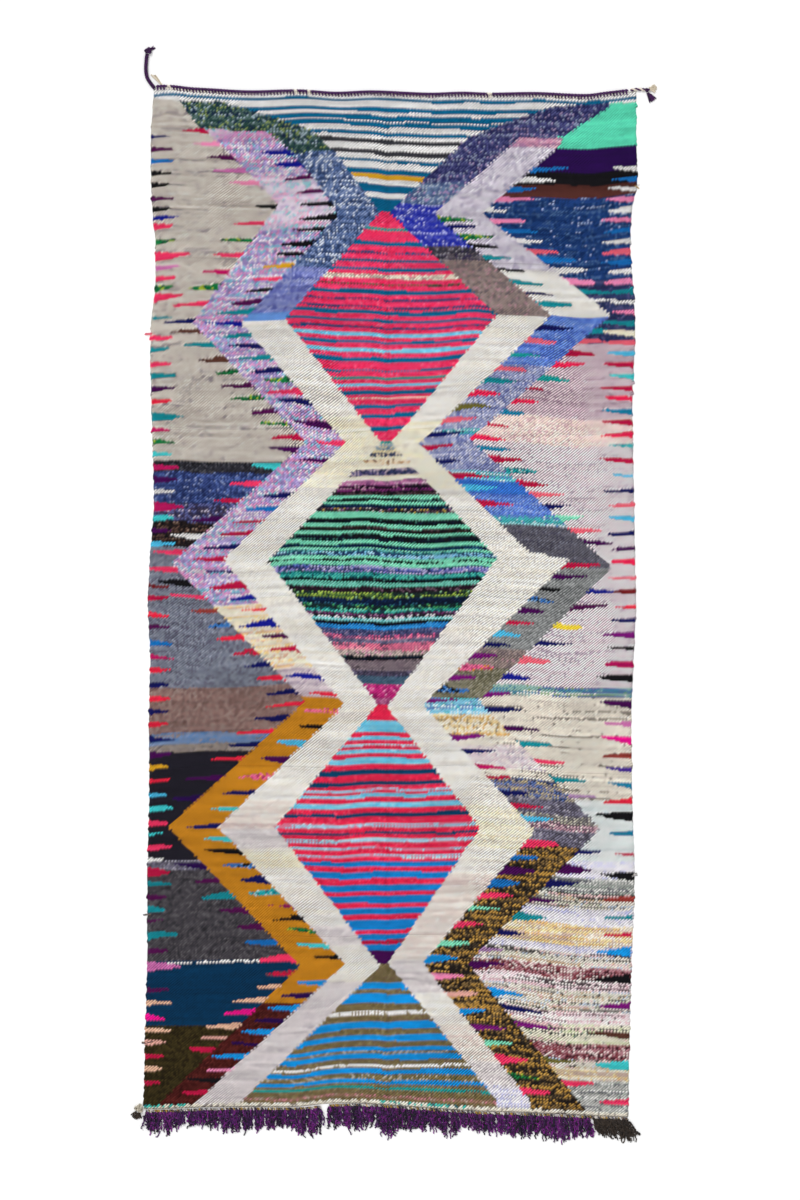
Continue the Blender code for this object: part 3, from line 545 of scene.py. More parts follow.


# The yarns' colours, with painted light on each bead's crown and painted shade in the gaps beside the beads
# and along the fold
def spinColoursWithPaintedLightAndShade(yarn, place, down):
    picks, warps = yarn.shape

    def runs(long):  # one draw for each run of warps, starting anywhere in the pick
        block = (np.arange(warps)[None, :] + draw.integers(0, long, picks)[:, None]) // long
        return np.take_along_axis(draw.random((picks, warps)), block, axis=1)

    beadDraws = {grain: runs(max(grain, 1)) for grain in range(6)}
    pickDraw = runs(46)
    darkGap = np.zeros((picks, warps), bool)
    keep = draw.random((picks, warps))
    colour = np.zeros((picks, warps, 3))
    for number, name in enumerate(yarnNames):
        here = yarn == number
        if not here.any():
            continue
        if name in plainYarns:
            colour[here] = linear(plainYarns[name])
            continue
        streak, grain, words = mixedYarns[name]
        shares = np.cumsum([float(w) for w in words[1::2]])
        shades = np.array([linear(w) for w in words[0::2]])
        pick = np.where(keep[here] < streak, pickDraw[here], beadDraws[grain][here])
        darkGap[here] = grain == 0
        colour[here] = shades[np.searchsorted(shares / shares[-1], pick).clip(0, len(shades) - 1)]
    tone = draw.normal(1, 0.05, (picks, 1)) * draw.normal(1, 0.08, (picks, warps))
    tone *= 1 + 0.2 * (runs(55) - 0.5)
    colour = rug["dyeGain"] * colour ** rug["dyeDepth"] * tone[..., None]
    # Between two beads the pick above closes over the warp: the gap takes its colour with painted shade,
    # deeper where the beat is loose, and each bead's crown gets painted light
    above = np.roll(colour, 1, axis=0)
    above[0] = colour[0]
    (wide, long, much), (wider, longer, more) = rug["looseFine"], rug["looseBroad"]
    loose = wavyField(place, down, wide, long) * much + wavyField(place, down, wider, longer) * more
    gap = (rug["gapShade"] - loose + draw.normal(0, 0.08, yarn.shape)).clip(0.12, 0.98)[..., None]
    # the gap beside each bead of a yarn whose warps are 0 is darkened much more
    gap[darkGap] *= rug["darkGapFactor"]
    bead = (np.add.outer(np.arange(picks), np.arange(warps)) % 2 == 0)[..., None]
    # painted shade darkens a narrow line down the fold in the middle
    dark, near = rug["paintedFoldShade"]
    foldShadeFactor = 1 - dark * np.exp(-(((place - rug["crease"][0]) / near) ** 2))[..., None]
    return (np.where(bead, colour * rug["beadShade"], above * gap) * foldShadeFactor).clip(0, 1)


def clothHeights(place, down):
    picks, warps = place.shape
    bead = np.where(np.add.outer(np.arange(picks), np.arange(warps)) % 2 == 0, 1, -1)
    middle, halfWide, high = rug["crease"]
    fold = np.exp(-(((place - middle) / halfWide) ** 2)) * high
    lumps = wavyField(place, down, 16, 13) * rug["lump"]
    ease = draw.normal(1, 0.18, place.shape)
    height = rug["thickness"] + fold + lumps + bead * ease * rug["bead"]
    for k, edge in enumerate(rug["edgeRound"]):
        for row in (k, -1 - k):
            height[:, row] = np.minimum(height[:, row], edge)
            height[row, :] = np.minimum(height[row, :], edge)
    return height


place, straight, down = layGrid()
yarn, edges = paintChart(place, straight, down)
layDashes(yarn, place, straight, down, edges)
layEnds(yarn, place, straight)
colours = spinColoursWithPaintedLightAndShade(yarn, place, down)
heights = clothHeights(place, down)
teeth = draw.normal(0, rug["edgeTeeth"], (len(down) // 2 + 1, 2)).repeat(2, axis=0)[:len(down)]
place[:, 0] -= np.abs(teeth[:, 0])
place[:, -1] += np.abs(teeth[:, 1])
points = placed(place, down, heights)
print("chart and picks laid")


# Materials. Each is named for the real stuff and how it was made.
def newMaterial(name):
    material = bpy.data.materials.new(name)
    material.use_nodes = True
    tree = material.node_tree
    tree.nodes.clear()
    output = addNode(tree, "ShaderNodeOutputMaterial")
    shader = addNode(tree, "ShaderNodeBsdfPrincipled")
    tree.links.new(shader.outputs[0], output.inputs[0])
    return material, tree, shader


def setShader(shader, values):
    for name, value in values.items():
        shader.inputs[name].default_value = value


def wovenRagCotton():
    # Torn cotton and wool rags, hand woven: matt and fuzzy, with a bead of weft over each warp; the colour
    # attribute carries painted light on the beads and painted shade in the gaps and along the fold
    material, tree, shader = newMaterial("wovenRagCotton")
    setShader(shader, {"Roughness": 0.95, "IOR": 1.45, "Specular IOR Level": 0.12,
                       "Sheen Weight": 0.02, "Sheen Roughness": 0.5})
    yarnColourWithPaintedLightAndShade = addNode(tree, "ShaderNodeAttribute", {"attribute_name": "yarnColourWithPaintedLightAndShade"})
    place = addNode(tree, "ShaderNodeTexCoord")
    lint = addNode(tree, "ShaderNodeMapping", {"Scale": (260, 900, 400)},
                   {"Vector": place.outputs["Object"]})  # fibres lie along the weft, 1 to 4 mm long
    fibre = addNode(tree, "ShaderNodeTexNoise", {"Scale": 1.0, "Detail": 2.0, "Roughness": 0.6},
                    {"Vector": lint})
    shade = addNode(tree, "ShaderNodeMapRange", {"From Min": 0.3, "From Max": 0.7, "To Min": 0.82,
                                                 "To Max": 1.12}, {"Value": fibre})
    mixed = addNode(tree, "ShaderNodeVectorMath", {"operation": "SCALE"},
                    {0: yarnColourWithPaintedLightAndShade.outputs["Color"], "Scale": shade})
    tree.links.new(mixed.outputs[0], shader.inputs["Base Color"])
    bump = addNode(tree, "ShaderNodeBump", {"Strength": 0.5, "Distance": 0.0006},
                   {"Height": fibre})
    tree.links.new(bump.outputs[0], shader.inputs["Normal"])
    return material


cottonCloth = wovenRagCotton()


def sectionMesh(name, first, last):  # a closed slab of cloth between two picks
    picks, warps = last - first, rug["warps"] - 1
    backPicks, backWarps = picks // rug["backPicks"], warps // rug["backWarps"]
    top = points[first:last + 1]
    back = top[::rug["backPicks"], ::rug["backWarps"]].copy()
    back[..., 2] = 0.0
    topIds = np.arange((picks + 1) * (warps + 1)).reshape(picks + 1, warps + 1)
    backIds = topIds.size + np.arange(back.shape[0] * back.shape[1]).reshape(back.shape[:2])

    def quads(ids, flip):
        corners = [ids[1:, :-1], ids[1:, 1:], ids[:-1, 1:], ids[:-1, :-1]]
        return np.stack(corners[::-1] if flip else corners, -1).reshape(-1, 4)

    faces = quads(topIds, False).tolist() + quads(backIds, True).tolist()
    inside = len(faces)

    def wall(upper, lower, each):  # upper runs with the cloth on its left
        for k in range(len(lower) - 1):
            faces.append([*upper[k * each:(k + 1) * each + 1][::-1], lower[k], lower[k + 1]])

    wall(topIds[-1], backIds[-1], rug["backWarps"])
    wall(topIds[0][::-1], backIds[0][::-1], rug["backWarps"])
    wall(topIds[:, 0], backIds[:, 0], rug["backPicks"])
    wall(topIds[::-1, -1], backIds[::-1, -1], rug["backPicks"])
    mesh = bpy.data.meshes.new(name)
    mesh.from_pydata(np.concatenate([top.reshape(-1, 3), back.reshape(-1, 3)]).tolist(), [], faces)
    smooth = np.arange(len(mesh.polygons)) < inside
    mesh.polygons.foreach_set("use_smooth", smooth)
    # the colour attribute: yarn colours with painted light on the beads and painted shade in the gaps and
    # along the fold
    yarnAndShadeAttribute = mesh.attributes.new("yarnColourWithPaintedLightAndShade", "FLOAT_COLOR", "POINT")
    seen = colours[first:last + 1]
    rgb = np.concatenate([seen.reshape(-1, 3),
                          seen[::rug["backPicks"], ::rug["backWarps"]].reshape(-1, 3) * 0.85])
    yarnAndShadeAttribute.data.foreach_set("color", np.concatenate([rgb, np.ones((len(rgb), 1))], axis=1).ravel())
    # The bake map: the face on the upper four fifths, the back below it, the walls in thin strips
    loops = np.zeros(len(mesh.loops), int)
    mesh.loops.foreach_get("vertex_index", loops)
    u, v = np.meshgrid(np.linspace(0, 1, warps + 1), np.linspace(1, 0.24, picks + 1))
    bu, bv = np.meshgrid(np.linspace(0, 1, backWarps + 1), np.linspace(0, 0.16, backPicks + 1))
    grid = np.concatenate([np.stack([u, v], -1).reshape(-1, 2), np.stack([bu, bv], -1).reshape(-1, 2)])
    flat = grid[loops]
    at = 4 * inside  # the loops of the walls come after those of the four-sided faces
    strips = [(0.172, backWarps), (0.188, backWarps), (0.204, backPicks), (0.220, backPicks)]
    for low, count in strips:
        for k in range(count):
            many = len(faces[inside + sum(past for under, past in strips if under < low) + k])
            for n in range(many - 2):
                flat[at + n] = ((k + 1 - n / (many - 3)) / count, low + 0.01)
            flat[at + many - 2] = (k / count, low)
            flat[at + many - 1] = ((k + 1) / count, low)
            at += many
    mesh.uv_layers.new(name="OFBake").data.foreach_set("uv", flat.ravel())
    mesh.materials.append(cottonCloth)
    mesh.validate()
    return mesh


def addPiece(mesh, slot, *nodes):
    piece = bpy.data.objects.new(mesh.name, mesh)
    bpy.context.scene.collection.objects.link(piece)
    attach(piece, "root")
    if nodes:
        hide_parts(*nodes)
    return piece


perSection = rug["picks"] // rug["sections"]
for k in range(rug["sections"]):
    mesh = sectionMesh(f"wovenCloth{k + 1}", k * perSection, (k + 1) * perSection)
    addPiece(mesh, "rag_weft", "rug_cloth")

# Yarn ends, knots and cords are grown by two node trees from points and paths that carry
# a reach, a shade and a random key
def newTree(name, inputs):
    tree = bpy.data.node_groups.new(name, "GeometryNodeTree")
    sockets = tree.interface
    sockets.new_socket("Geometry", in_out="INPUT", socket_type="NodeSocketGeometry")
    for label, kind in inputs.items():
        sockets.new_socket(label, in_out="INPUT", socket_type="NodeSocket" + kind)
    sockets.new_socket("Geometry", in_out="OUTPUT", socket_type="NodeSocketGeometry")
    return tree, addNode(tree, "NodeGroupInput").outputs, addNode(tree, "NodeGroupOutput")


def finishTree(tree, given, output, curve, radius):  # a round yarn along each curve
    ring = addNode(tree, "GeometryNodeCurvePrimitiveCircle", {}, {
        "Resolution": given["Sides"], "Radius": radius})
    yarnSkin = addNode(tree, "GeometryNodeCurveToMesh", {"Fill Caps": True}, {
        "Curve": curve, "Profile Curve": ring})
    rounded = addNode(tree, "GeometryNodeSetShadeSmooth", {}, {0: yarnSkin})
    whole = addNode(tree, "GeometryNodeRealizeInstances", {}, {0: rounded})
    dyed = addNode(tree, "GeometryNodeSetMaterial", {}, {
        0: whole, "Material": given["Material"]})
    tree.links.new(dyed.outputs[0], output.inputs[0])


def strandTree():
    tree, given, output = newTree("yarnStrands", {
        "Bends": "Int", "Sides": "Int", "Yarn Radius": "Float", "Tip Share": "Float",
        "Curl": "Float", "Curl Long": "Float", "Material": "Material"})
    line = addNode(tree, "GeometryNodeCurvePrimitiveLine", {"Start": (0, 0, 0), "End": (1, 0, 0)})
    bent = addNode(tree, "GeometryNodeResampleCurve", {}, {
        "Curve": line, "Count": given["Bends"]})
    reach = addNode(tree, "GeometryNodeInputNamedAttribute", {
        "data_type": "FLOAT_VECTOR", "Name": "reach"})
    turn = addNode(tree, "FunctionNodeAlignRotationToVector", {"axis": "X"}, {
        "Vector": reach})
    long = addNode(tree, "ShaderNodeVectorMath", {"operation": "LENGTH"}, {0: reach})
    size = addNode(tree, "ShaderNodeCombineXYZ", {1: 1.0, 2: 1.0}, {0: long.outputs["Value"]})
    hung = addNode(tree, "GeometryNodeInstanceOnPoints", {}, {
        "Points": given["Geometry"], "Instance": bent, "Rotation": turn,
        "Scale": size})
    real = addNode(tree, "GeometryNodeRealizeInstances", {}, {0: hung})
    along = addNode(tree, "GeometryNodeSplineParameter")
    key = addNode(tree, "GeometryNodeInputNamedAttribute", {"data_type": "FLOAT", "Name": "key"})
    beat = addNode(tree, "ShaderNodeMath", {"operation": "DIVIDE"}, {
        0: along.outputs["Length"], 1: given["Curl Long"]})
    spot = addNode(tree, "ShaderNodeCombineXYZ", {}, {0: beat, 1: key})
    noise = addNode(tree, "ShaderNodeTexNoise", {"Scale": 1.0, "Detail": 1.0}, {
        "Vector": spot})
    centred = addNode(tree, "ShaderNodeVectorMath", {"operation": "SUBTRACT", 1: (0.5, 0.5, 0.5)}, {
        0: noise.outputs["Color"]})
    loosened = addNode(tree, "ShaderNodeMapRange", {"From Max": 0.3}, {
        "Value": along.outputs["Factor"]})
    swing = addNode(tree, "ShaderNodeMath", {"operation": "MULTIPLY"}, {
        0: loosened, 1: given["Curl"]})
    offset = addNode(tree, "ShaderNodeVectorMath", {"operation": "SCALE"}, {
        0: centred, "Scale": swing})
    curled = addNode(tree, "GeometryNodeSetPosition", {}, {
        "Geometry": real, "Offset": offset})
    now = addNode(tree, "GeometryNodeInputPosition")
    parts = addNode(tree, "ShaderNodeSeparateXYZ", {}, {0: now})
    lifted = addNode(tree, "ShaderNodeMath", {"operation": "MAXIMUM"}, {
        0: parts.outputs[2], 1: given["Yarn Radius"]})  # nothing sinks into the floor
    onFloor = addNode(tree, "ShaderNodeCombineXYZ", {}, {
        0: parts, 1: parts.outputs[1], 2: lifted})
    laid = addNode(tree, "GeometryNodeSetPosition", {}, {
        "Geometry": curled, "Position": onFloor})
    thin = addNode(tree, "ShaderNodeMapRange", {"To Min": 1.0}, {
        "Value": along.outputs["Factor"], "To Max": given["Tip Share"]})
    tapered = addNode(tree, "GeometryNodeSetCurveRadius", {}, {
        "Curve": laid, "Radius": thin})
    finishTree(tree, given, output, tapered, given["Yarn Radius"])
    return tree


def pliedTree():
    tree, given, output = newTree("pliedCord", {
        "Plies": "Int", "Sides": "Int", "Ply Radius": "Float", "Spread": "Float",
        "Rise": "Float", "Rise Beats": "Float", "Rise Shift": "Float", "Lay": "Float",
        "Step": "Float", "Ply Shade": "Float", "Material": "Material"})
    route = addNode(tree, "GeometryNodeMeshToCurve", {}, {0: given["Geometry"]})
    even = addNode(tree, "GeometryNodeResampleCurve", {"mode": "LENGTH"}, {
        "Curve": route, "Length": given["Step"]})
    plies = addNode(tree, "GeometryNodeDuplicateElements", {"domain": "SPLINE"}, {
        "Geometry": even, "Amount": given["Plies"]})
    share = addNode(tree, "ShaderNodeMath", {"operation": "DIVIDE"}, {
        0: plies.outputs["Duplicate Index"], 1: given["Plies"]})
    along = addNode(tree, "GeometryNodeSplineParameter")
    turns = addNode(tree, "ShaderNodeMath", {"operation": "DIVIDE"}, {
        0: along.outputs["Length"], 1: given["Lay"]})
    phase = addNode(tree, "ShaderNodeMath", {"operation": "ADD"}, {
        0: turns, 1: share})
    angle = addNode(tree, "ShaderNodeMath", {"operation": "MULTIPLY", 1: 2 * math.pi}, {
        0: phase})
    swing = addNode(tree, "ShaderNodeMath", {"operation": "SINE"}, {0: angle})
    sideways = addNode(tree, "ShaderNodeMath", {"operation": "MULTIPLY"}, {
        0: swing, 1: given["Spread"]})
    beats = addNode(tree, "ShaderNodeMath", {"operation": "MULTIPLY_ADD"}, {
        0: angle, 1: given["Rise Beats"], 2: given["Rise Shift"]})
    lift = addNode(tree, "ShaderNodeMath", {"operation": "SINE"}, {0: beats})
    upwards = addNode(tree, "ShaderNodeMath", {"operation": "MULTIPLY"}, {
        0: lift, 1: given["Rise"]})
    ahead = addNode(tree, "GeometryNodeInputTangent")
    side = addNode(tree, "ShaderNodeVectorMath", {"operation": "CROSS_PRODUCT", 1: (0, 0, 1)}, {
        0: ahead})
    sideUnit = addNode(tree, "ShaderNodeVectorMath", {"operation": "NORMALIZE"}, {
        0: side})
    sidePart = addNode(tree, "ShaderNodeVectorMath", {"operation": "SCALE"}, {
        0: sideUnit, "Scale": sideways})
    upPart = addNode(tree, "ShaderNodeCombineXYZ", {}, {2: upwards})
    offset = addNode(tree, "ShaderNodeVectorMath", {"operation": "ADD"}, {
        0: sidePart, 1: upPart})
    laid = addNode(tree, "GeometryNodeSetPosition", {}, {
        "Geometry": plies, "Offset": offset})
    was = addNode(tree, "GeometryNodeInputNamedAttribute", {"data_type": "FLOAT", "Name": "key"})
    shade = addNode(tree, "ShaderNodeMath", {"operation": "MULTIPLY_ADD"}, {
        0: plies.outputs["Duplicate Index"], 1: given["Ply Shade"], 2: was})
    kept = addNode(tree, "GeometryNodeStoreNamedAttribute", {
        "data_type": "FLOAT", "domain": "POINT", "Name": "key"}, {
        "Geometry": laid, "Value": shade})
    finishTree(tree, given, output, kept, given["Ply Radius"])
    return tree


strands, plied = strandTree(), pliedTree()


def growPiece(name, base, tree, values, slot, *nodes):
    source = bpy.data.objects.new(name + "Source", base)
    bpy.context.scene.collection.objects.link(source)
    grower = source.modifiers.new("grow", "NODES")
    grower.node_group = tree
    for socket in tree.interface.items_tree:
        if socket.name in values and socket.in_out == "INPUT":
            grower[socket.identifier] = values[socket.name]
    view.update()
    seen = source.evaluated_get(bpy.context.evaluated_depsgraph_get())
    grown = bpy.data.meshes.new_from_object(seen)
    bpy.data.objects.remove(source)
    grown.name = name
    print(name, sum(len(face.vertices) - 2 for face in grown.polygons), "triangles")
    return addPiece(grown, slot, *nodes)


def baseMesh(places, keys, reaches=None):  # points, or a path where there is no reach
    mesh = bpy.data.meshes.new("base")
    joins = [] if reaches is not None else [(k, k + 1) for k in range(len(places) - 1)]
    mesh.from_pydata([tuple(p) for p in places], joins, [])
    mesh.attributes.new("key", "FLOAT", "POINT").data.foreach_set("value", np.asarray(keys, float))
    if reaches is not None:
        grown = mesh.attributes.new("reach", "FLOAT_VECTOR", "POINT")
        grown.data.foreach_set("vector", np.asarray(reaches, float).ravel())
    return mesh


def strandValues(bends, sides, radius, tip, curl, curlLong, stuff):  # sizes in cm
    return {"Bends": bends, "Sides": sides, "Yarn Radius": radius * cm, "Tip Share": tip,
            "Curl": curl * cm, "Curl Long": curlLong * cm, "Material": yarnStuff[stuff]}


def pliedValues(plies, sides, ply, spread, lay, step, shade, stuff, rise=None, beats=1.0,
                shift=math.pi / 2):  # sizes in cm; plies go round unless the rise has its own beat
    return {"Plies": plies, "Sides": sides, "Ply Radius": ply * cm, "Spread": spread * cm,
            "Rise": (spread if rise is None else rise) * cm, "Rise Beats": beats,
            "Rise Shift": shift, "Lay": lay * cm, "Step": step * cm, "Ply Shade": shade,
            "Material": yarnStuff[stuff]}


def yarnKeys(count):  # each yarn end has its own shade and its own curl
    return draw.uniform(0, 1, count) + draw.integers(0, 40, count) * 2


def twistedYarn(name, shades, blotchLong):
    # Plied wool or cotton yarn, spun and twisted: matt, hairy, each end dyed its own shade; in the purple
    # fringe some shades are painted shade and painted highlight
    material, tree, shader = newMaterial(name)
    setShader(shader, {"Roughness": 0.85, "Specular IOR Level": 0.25,
                       "Sheen Weight": 0.1, "Sheen Roughness": 0.5})
    key = addNode(tree, "ShaderNodeAttribute", {"attribute_name": "key"})
    place = addNode(tree, "ShaderNodeTexCoord")
    blotch = addNode(tree, "ShaderNodeTexNoise", {"Scale": 1 / blotchLong, "Detail": 2.0}, {
        "Vector": place.outputs["Object"]})
    lean = addNode(tree, "ShaderNodeMath", {"operation": "MULTIPLY_ADD", 1: 0.5, 2: -0.25}, {
        0: blotch})
    picked = addNode(tree, "ShaderNodeMath", {"operation": "ADD"}, {
        0: key.outputs["Fac"], 1: lean})
    wrapped = addNode(tree, "ShaderNodeMath", {"operation": "PINGPONG", 1: 1.0}, {
        0: picked})
    ramp = addNode(tree, "ShaderNodeValToRGB", {}, {0: wrapped})
    stops = ramp.color_ramp.elements
    while len(stops) < len(shades):
        stops.new(0.5)
    for k, shade in enumerate(shades):
        stops[k].position = k / max(len(shades) - 1, 1)
        stops[k].color = (*linear(shade), 1)
    tree.links.new(ramp.outputs[0], shader.inputs["Base Color"])
    hair = addNode(tree, "ShaderNodeTexNoise", {"Scale": 1400.0, "Detail": 2.0}, {
        "Vector": place.outputs["Object"]})
    bump = addNode(tree, "ShaderNodeBump", {"Strength": 0.6, "Distance": 0.0006}, {
        "Height": hair})
    tree.links.new(bump.outputs[0], shader.inputs["Normal"])
    return material


yarnStuff = {
    # the purple fringe's near-black shades are partly painted shade among its curls, and 84208c is a painted
    # highlight; its other purples are the wool's own
    "fringe": twistedYarn("spunPurpleWool", ["0a0512", "1c0a2c", "521464", "0c0614", "84208c",
                                             "180a24"], 0.02),
    "blackFringe": twistedYarn("spunBlackWool", ["181210", "3a2f26", "241d18"], 0.02),
    "heading": twistedYarn("twinedHeadingYarn", ["2a1236", "4c1c5c", "38164a", "e2d8ca", "e8e0d4"], 0.05),
    "plait": twistedYarn("plaitedPurpleWool", ["1c0c28", "3a1448", "54205f"], 0.012),
    "cream": twistedYarn("bareCottonWarp", ["c8bba4", "dcd0bc", "a4967e"], 0.012),
    "twist": twistedYarn("purpleAndCreamTwist", ["341042", "4c1858", "cfc0b4", "e4dacb"], 0.05),
    "tieOff": twistedYarn("greyTieCord", ["6c6660", "a49c8c", "c4bcaa", "4c4844"], 0.012),
    "coral": twistedYarn("tornCoralCotton", ["d8345c", "e8546c"], 0.012),
    "knots": twistedYarn("knottedRagEnds", ["141014", "e4ddd4", "1c1428", "2a1c38", "b8923c",
                                            "101018", "cfc8cc"], 0.008),
}

# The fringe: three layers of curled yarn ends under a row of knots, past the cloth's end
fringe = {
    "gap": 0.06, "strip": 0.9, "layers": 3, "slit": (51.5, 53.7),
    "layerHigh": (0.2, 0.34, 0.46), "layerLong": (1.04, 0.94, 0.8), "lengthJitter": 0.16,
    "tipWander": 1.1, "radius": 0.19, "tip": 0.75, "curl": 3.4, "curlLong": 0.95, "bends": 22,
    "clump": (2.0, 4.2), "gather": 0.45,  # ends bunch towards the middle of each clump
}
# across (cm), length and sideways lean of the tips (mm)
purpleFringe = [
    (-1.2, 56, -14), (0.5, 62, -8), (2.6, 68, -3), (6.8, 66, 0), (9.2, 46, 2), (13.7, 57, 0),
    (16.7, 49, 0), (21.2, 62, 0), (23.9, 75, 0), (28.7, 67, 0), (33.8, 64, 0), (42.2, 55, 0),
    (45.2, 80, 0), (48.2, 85, 0), (51.2, 74, -4), (54.0, 74, 4), (57.2, 59, 2), (60.2, 77, 0),
    (63.8, 73, 0), (66.8, 61, 0), (69.8, 84, 0), (73.4, 90, 0), (76.7, 70, 0), (80.6, 67, 0),
    (84.8, 57, 0), (88.7, 75, 2), (91.7, 70, 2), (93.8, 42, 2), (96.2, 53, 3), (100.7, 59, 4),
    (105.2, 61, 4), (111.5, 74, 4), (115.1, 64, 4), (122.0, 78, 5), (127.1, 67, 7), (132.0, 59, 9),
]
blackFringe = [(132.9, 53, 10), (135.2, 52, 13), (138.8, 62, 18), (141.2, 70, 24), (143.0, 60, 36)]


def makeFringe(name, table, pitch, stuff, slot, *nodes):
    roots, reaches, keys = [], [], []
    first, last = table[0][0], table[-1][0]
    clumps = first + np.cumsum(draw.uniform(*fringe["clump"], int((last - first) / fringe["clump"][0]) + 2))
    for layer in range(fringe["layers"]):
        across = first + draw.uniform(0, pitch)
        while across < last:
            if not fringe["slit"][0] < across < fringe["slit"][1]:
                end = float(clothDown(across, 1.0)) + fringe["gap"]
                high = fringe["layerHigh"][layer]
                long = float(smoothValues(table, 1, across)) * mm / cm * fringe["layerLong"][layer]
                long *= draw.uniform(1 - 2 * fringe["lengthJitter"], 1)
                lean = float(smoothValues(table, 2, across)) * mm / cm
                lean += draw.uniform(-1, 1) * fringe["tipWander"]
                lean += (clumps[np.abs(clumps - across).argmin()] - across) * fringe["gather"]
                roots.append(placed(across, end + fringe["strip"] * 0.8, high))
                reaches.append(np.array([lean, -long - fringe["strip"] * 0.15, -high * 0.6]) * cm)
                keys.append(draw.uniform(0, 1) + draw.integers(0, 40) * 2)
            across += pitch * draw.uniform(0.7, 1.3)
    values = strandValues(fringe["bends"], 4, fringe["radius"], fringe["tip"], fringe["curl"],
                          fringe["curlLong"], stuff)
    return growPiece(name, baseMesh(roots, keys, reaches), strands, values, slot, *nodes)


makeFringe("purpleYarnEnds", purpleFringe, 0.44, "fringe", "purple_yarn", "purple_fringe")
makeFringe("blackYarnEnds", blackFringe, 0.3, "blackFringe", "black_yarn", "black_fringe")

# The knots that hold the fringe: short yarn loops over the warp ends
knotRow = {"pitch": 0.42, "long": 0.66, "radius": 0.19, "slant": 0.34, "height": 0.5}


def makeKnotRow(name, first, last, slot):
    across = np.arange(first, last, knotRow["pitch"])
    across = across[(across < fringe["slit"][0] - 0.1) | (across > fringe["slit"][1] + 0.1)]
    roots = placed(across, clothDown(across, 1.0) + 0.16, knotRow["height"])
    count = len(across)
    reaches = np.stack([draw.normal(knotRow["slant"], 0.15, count),
                        -knotRow["long"] * draw.uniform(0.7, 1.3, count),
                        draw.uniform(-0.12, 0.05, count)], -1) * cm
    values = strandValues(5, 6, knotRow["radius"], 0.8, 0.25, 0.5, "knots")
    return growPiece(name, baseMesh(roots, yarnKeys(count), reaches), strands, values, slot)


makeKnotRow("fringeKnots", -0.9, 143.2, "black_yarn")
print("fringe hung")

# The twined heading along the top end, and its teeth over the first picks
heading = {
    "from": 2.12, "to": 144.1, "radius": 0.45, "lay": 1.9, "plyRadius": 0.21,
    "teethPitch": 0.97, "toothLong": 0.72, "toothRadius": 0.22,
    "creamRuns": ((5.2, 6.4), (43.3, 44.3), (47.3, 48.2), (101.5, 103.1)),
}


def inRuns(across):
    return np.any([(across > a) & (across < b) for a, b in heading["creamRuns"]], axis=0)


def makeHeading():
    across = np.arange(heading["from"], heading["to"], 0.5)
    route = placed(across, clothDown(across, 0.0) - heading["radius"], heading["radius"] + 0.02)
    keys = np.where(inRuns(across), 0.85, 0.22)
    values = pliedValues(2, 6, heading["plyRadius"], heading["radius"] - heading["plyRadius"],
                         heading["lay"], heading["lay"] / 9, 0.1, "heading")
    growPiece("twinedHeading", baseMesh(route, keys), plied, values, "heading_yarn", "heading_cord")
    across = np.arange(heading["from"] + 0.3, heading["to"] - 0.2, heading["teethPitch"])
    count = len(across)
    roots = placed(across, clothDown(across, 0.0) - 0.05, 0.6)
    reaches = np.stack([draw.normal(0.22, 0.06, count),
                        -heading["toothLong"] * draw.uniform(0.75, 1.25, count),
                        draw.normal(0.03, 0.02, count)], -1) * cm
    keys = np.where(inRuns(across), 0.85, draw.uniform(0.05, 0.4, count))
    values = strandValues(5, 6, heading["toothRadius"], 0.7, 0.1, 0.5, "heading")
    growPiece("headingTeeth", baseMesh(roots, keys, reaches), strands, values, "heading_yarn")


makeHeading()

# Corner ties. Routes are across and down in mm, as in the rug's plan.
plait = {
    "route": [(16, -15), (9, -23), (1, -34), (-6, -46), (-9, -60), (-10, -76), (-9, -92),
              (-8, -106), (-6, -117)],
    "diameter": 1.2, "lay": 1.9, "plyRadius": 0.24, "spread": 0.37, "rise": 0.2,
}
twist = {
    "route": [(1443, -9.3), (1454, -10.4), (1466, -11.3), (1477, -10.9), (1486, -10)],
    "lay": 2.2, "plyRadius": 0.25, "spread": 0.22,
}


def smoothPath(route, steps=6):  # a plan route in mm, with more points between
    at = np.arange(len(route), dtype=float)
    table = [(k, *p) for k, p in enumerate(route)]
    fine = np.linspace(0, len(route) - 1, (len(route) - 1) * steps + 1)
    return smoothValues(table, 1, fine) * 0.1, smoothValues(table, 2, fine) * 0.1


def knotPath(centre, size, turn, height):  # an overhand knot, three lobes over and under
    t = np.linspace(0, 2 * math.pi, 60)
    a = (np.sin(t) + 2 * np.sin(2 * t)) / 3 * size[0]
    b = (np.cos(t) - 2 * np.cos(2 * t)) / 3 * size[1]
    across = centre[0] * 0.1 + a * math.cos(turn) - b * math.sin(turn)
    down = centre[1] * 0.1 + a * math.sin(turn) + b * math.cos(turn)
    return placed(across, down, height - np.sin(3 * t) * size[2])


def makeKnot(name, centre, size, turn, height, yarn, stuff, slot, *nodes):
    route = knotPath(centre, size, turn, height)
    values = pliedValues(2, 7, yarn * 0.62, yarn * 0.45, 1.3, 0.16, 0.3, stuff)
    keys = np.full(len(route), 0.3)
    return growPiece(name, baseMesh(route, keys), plied, values, slot, *nodes)


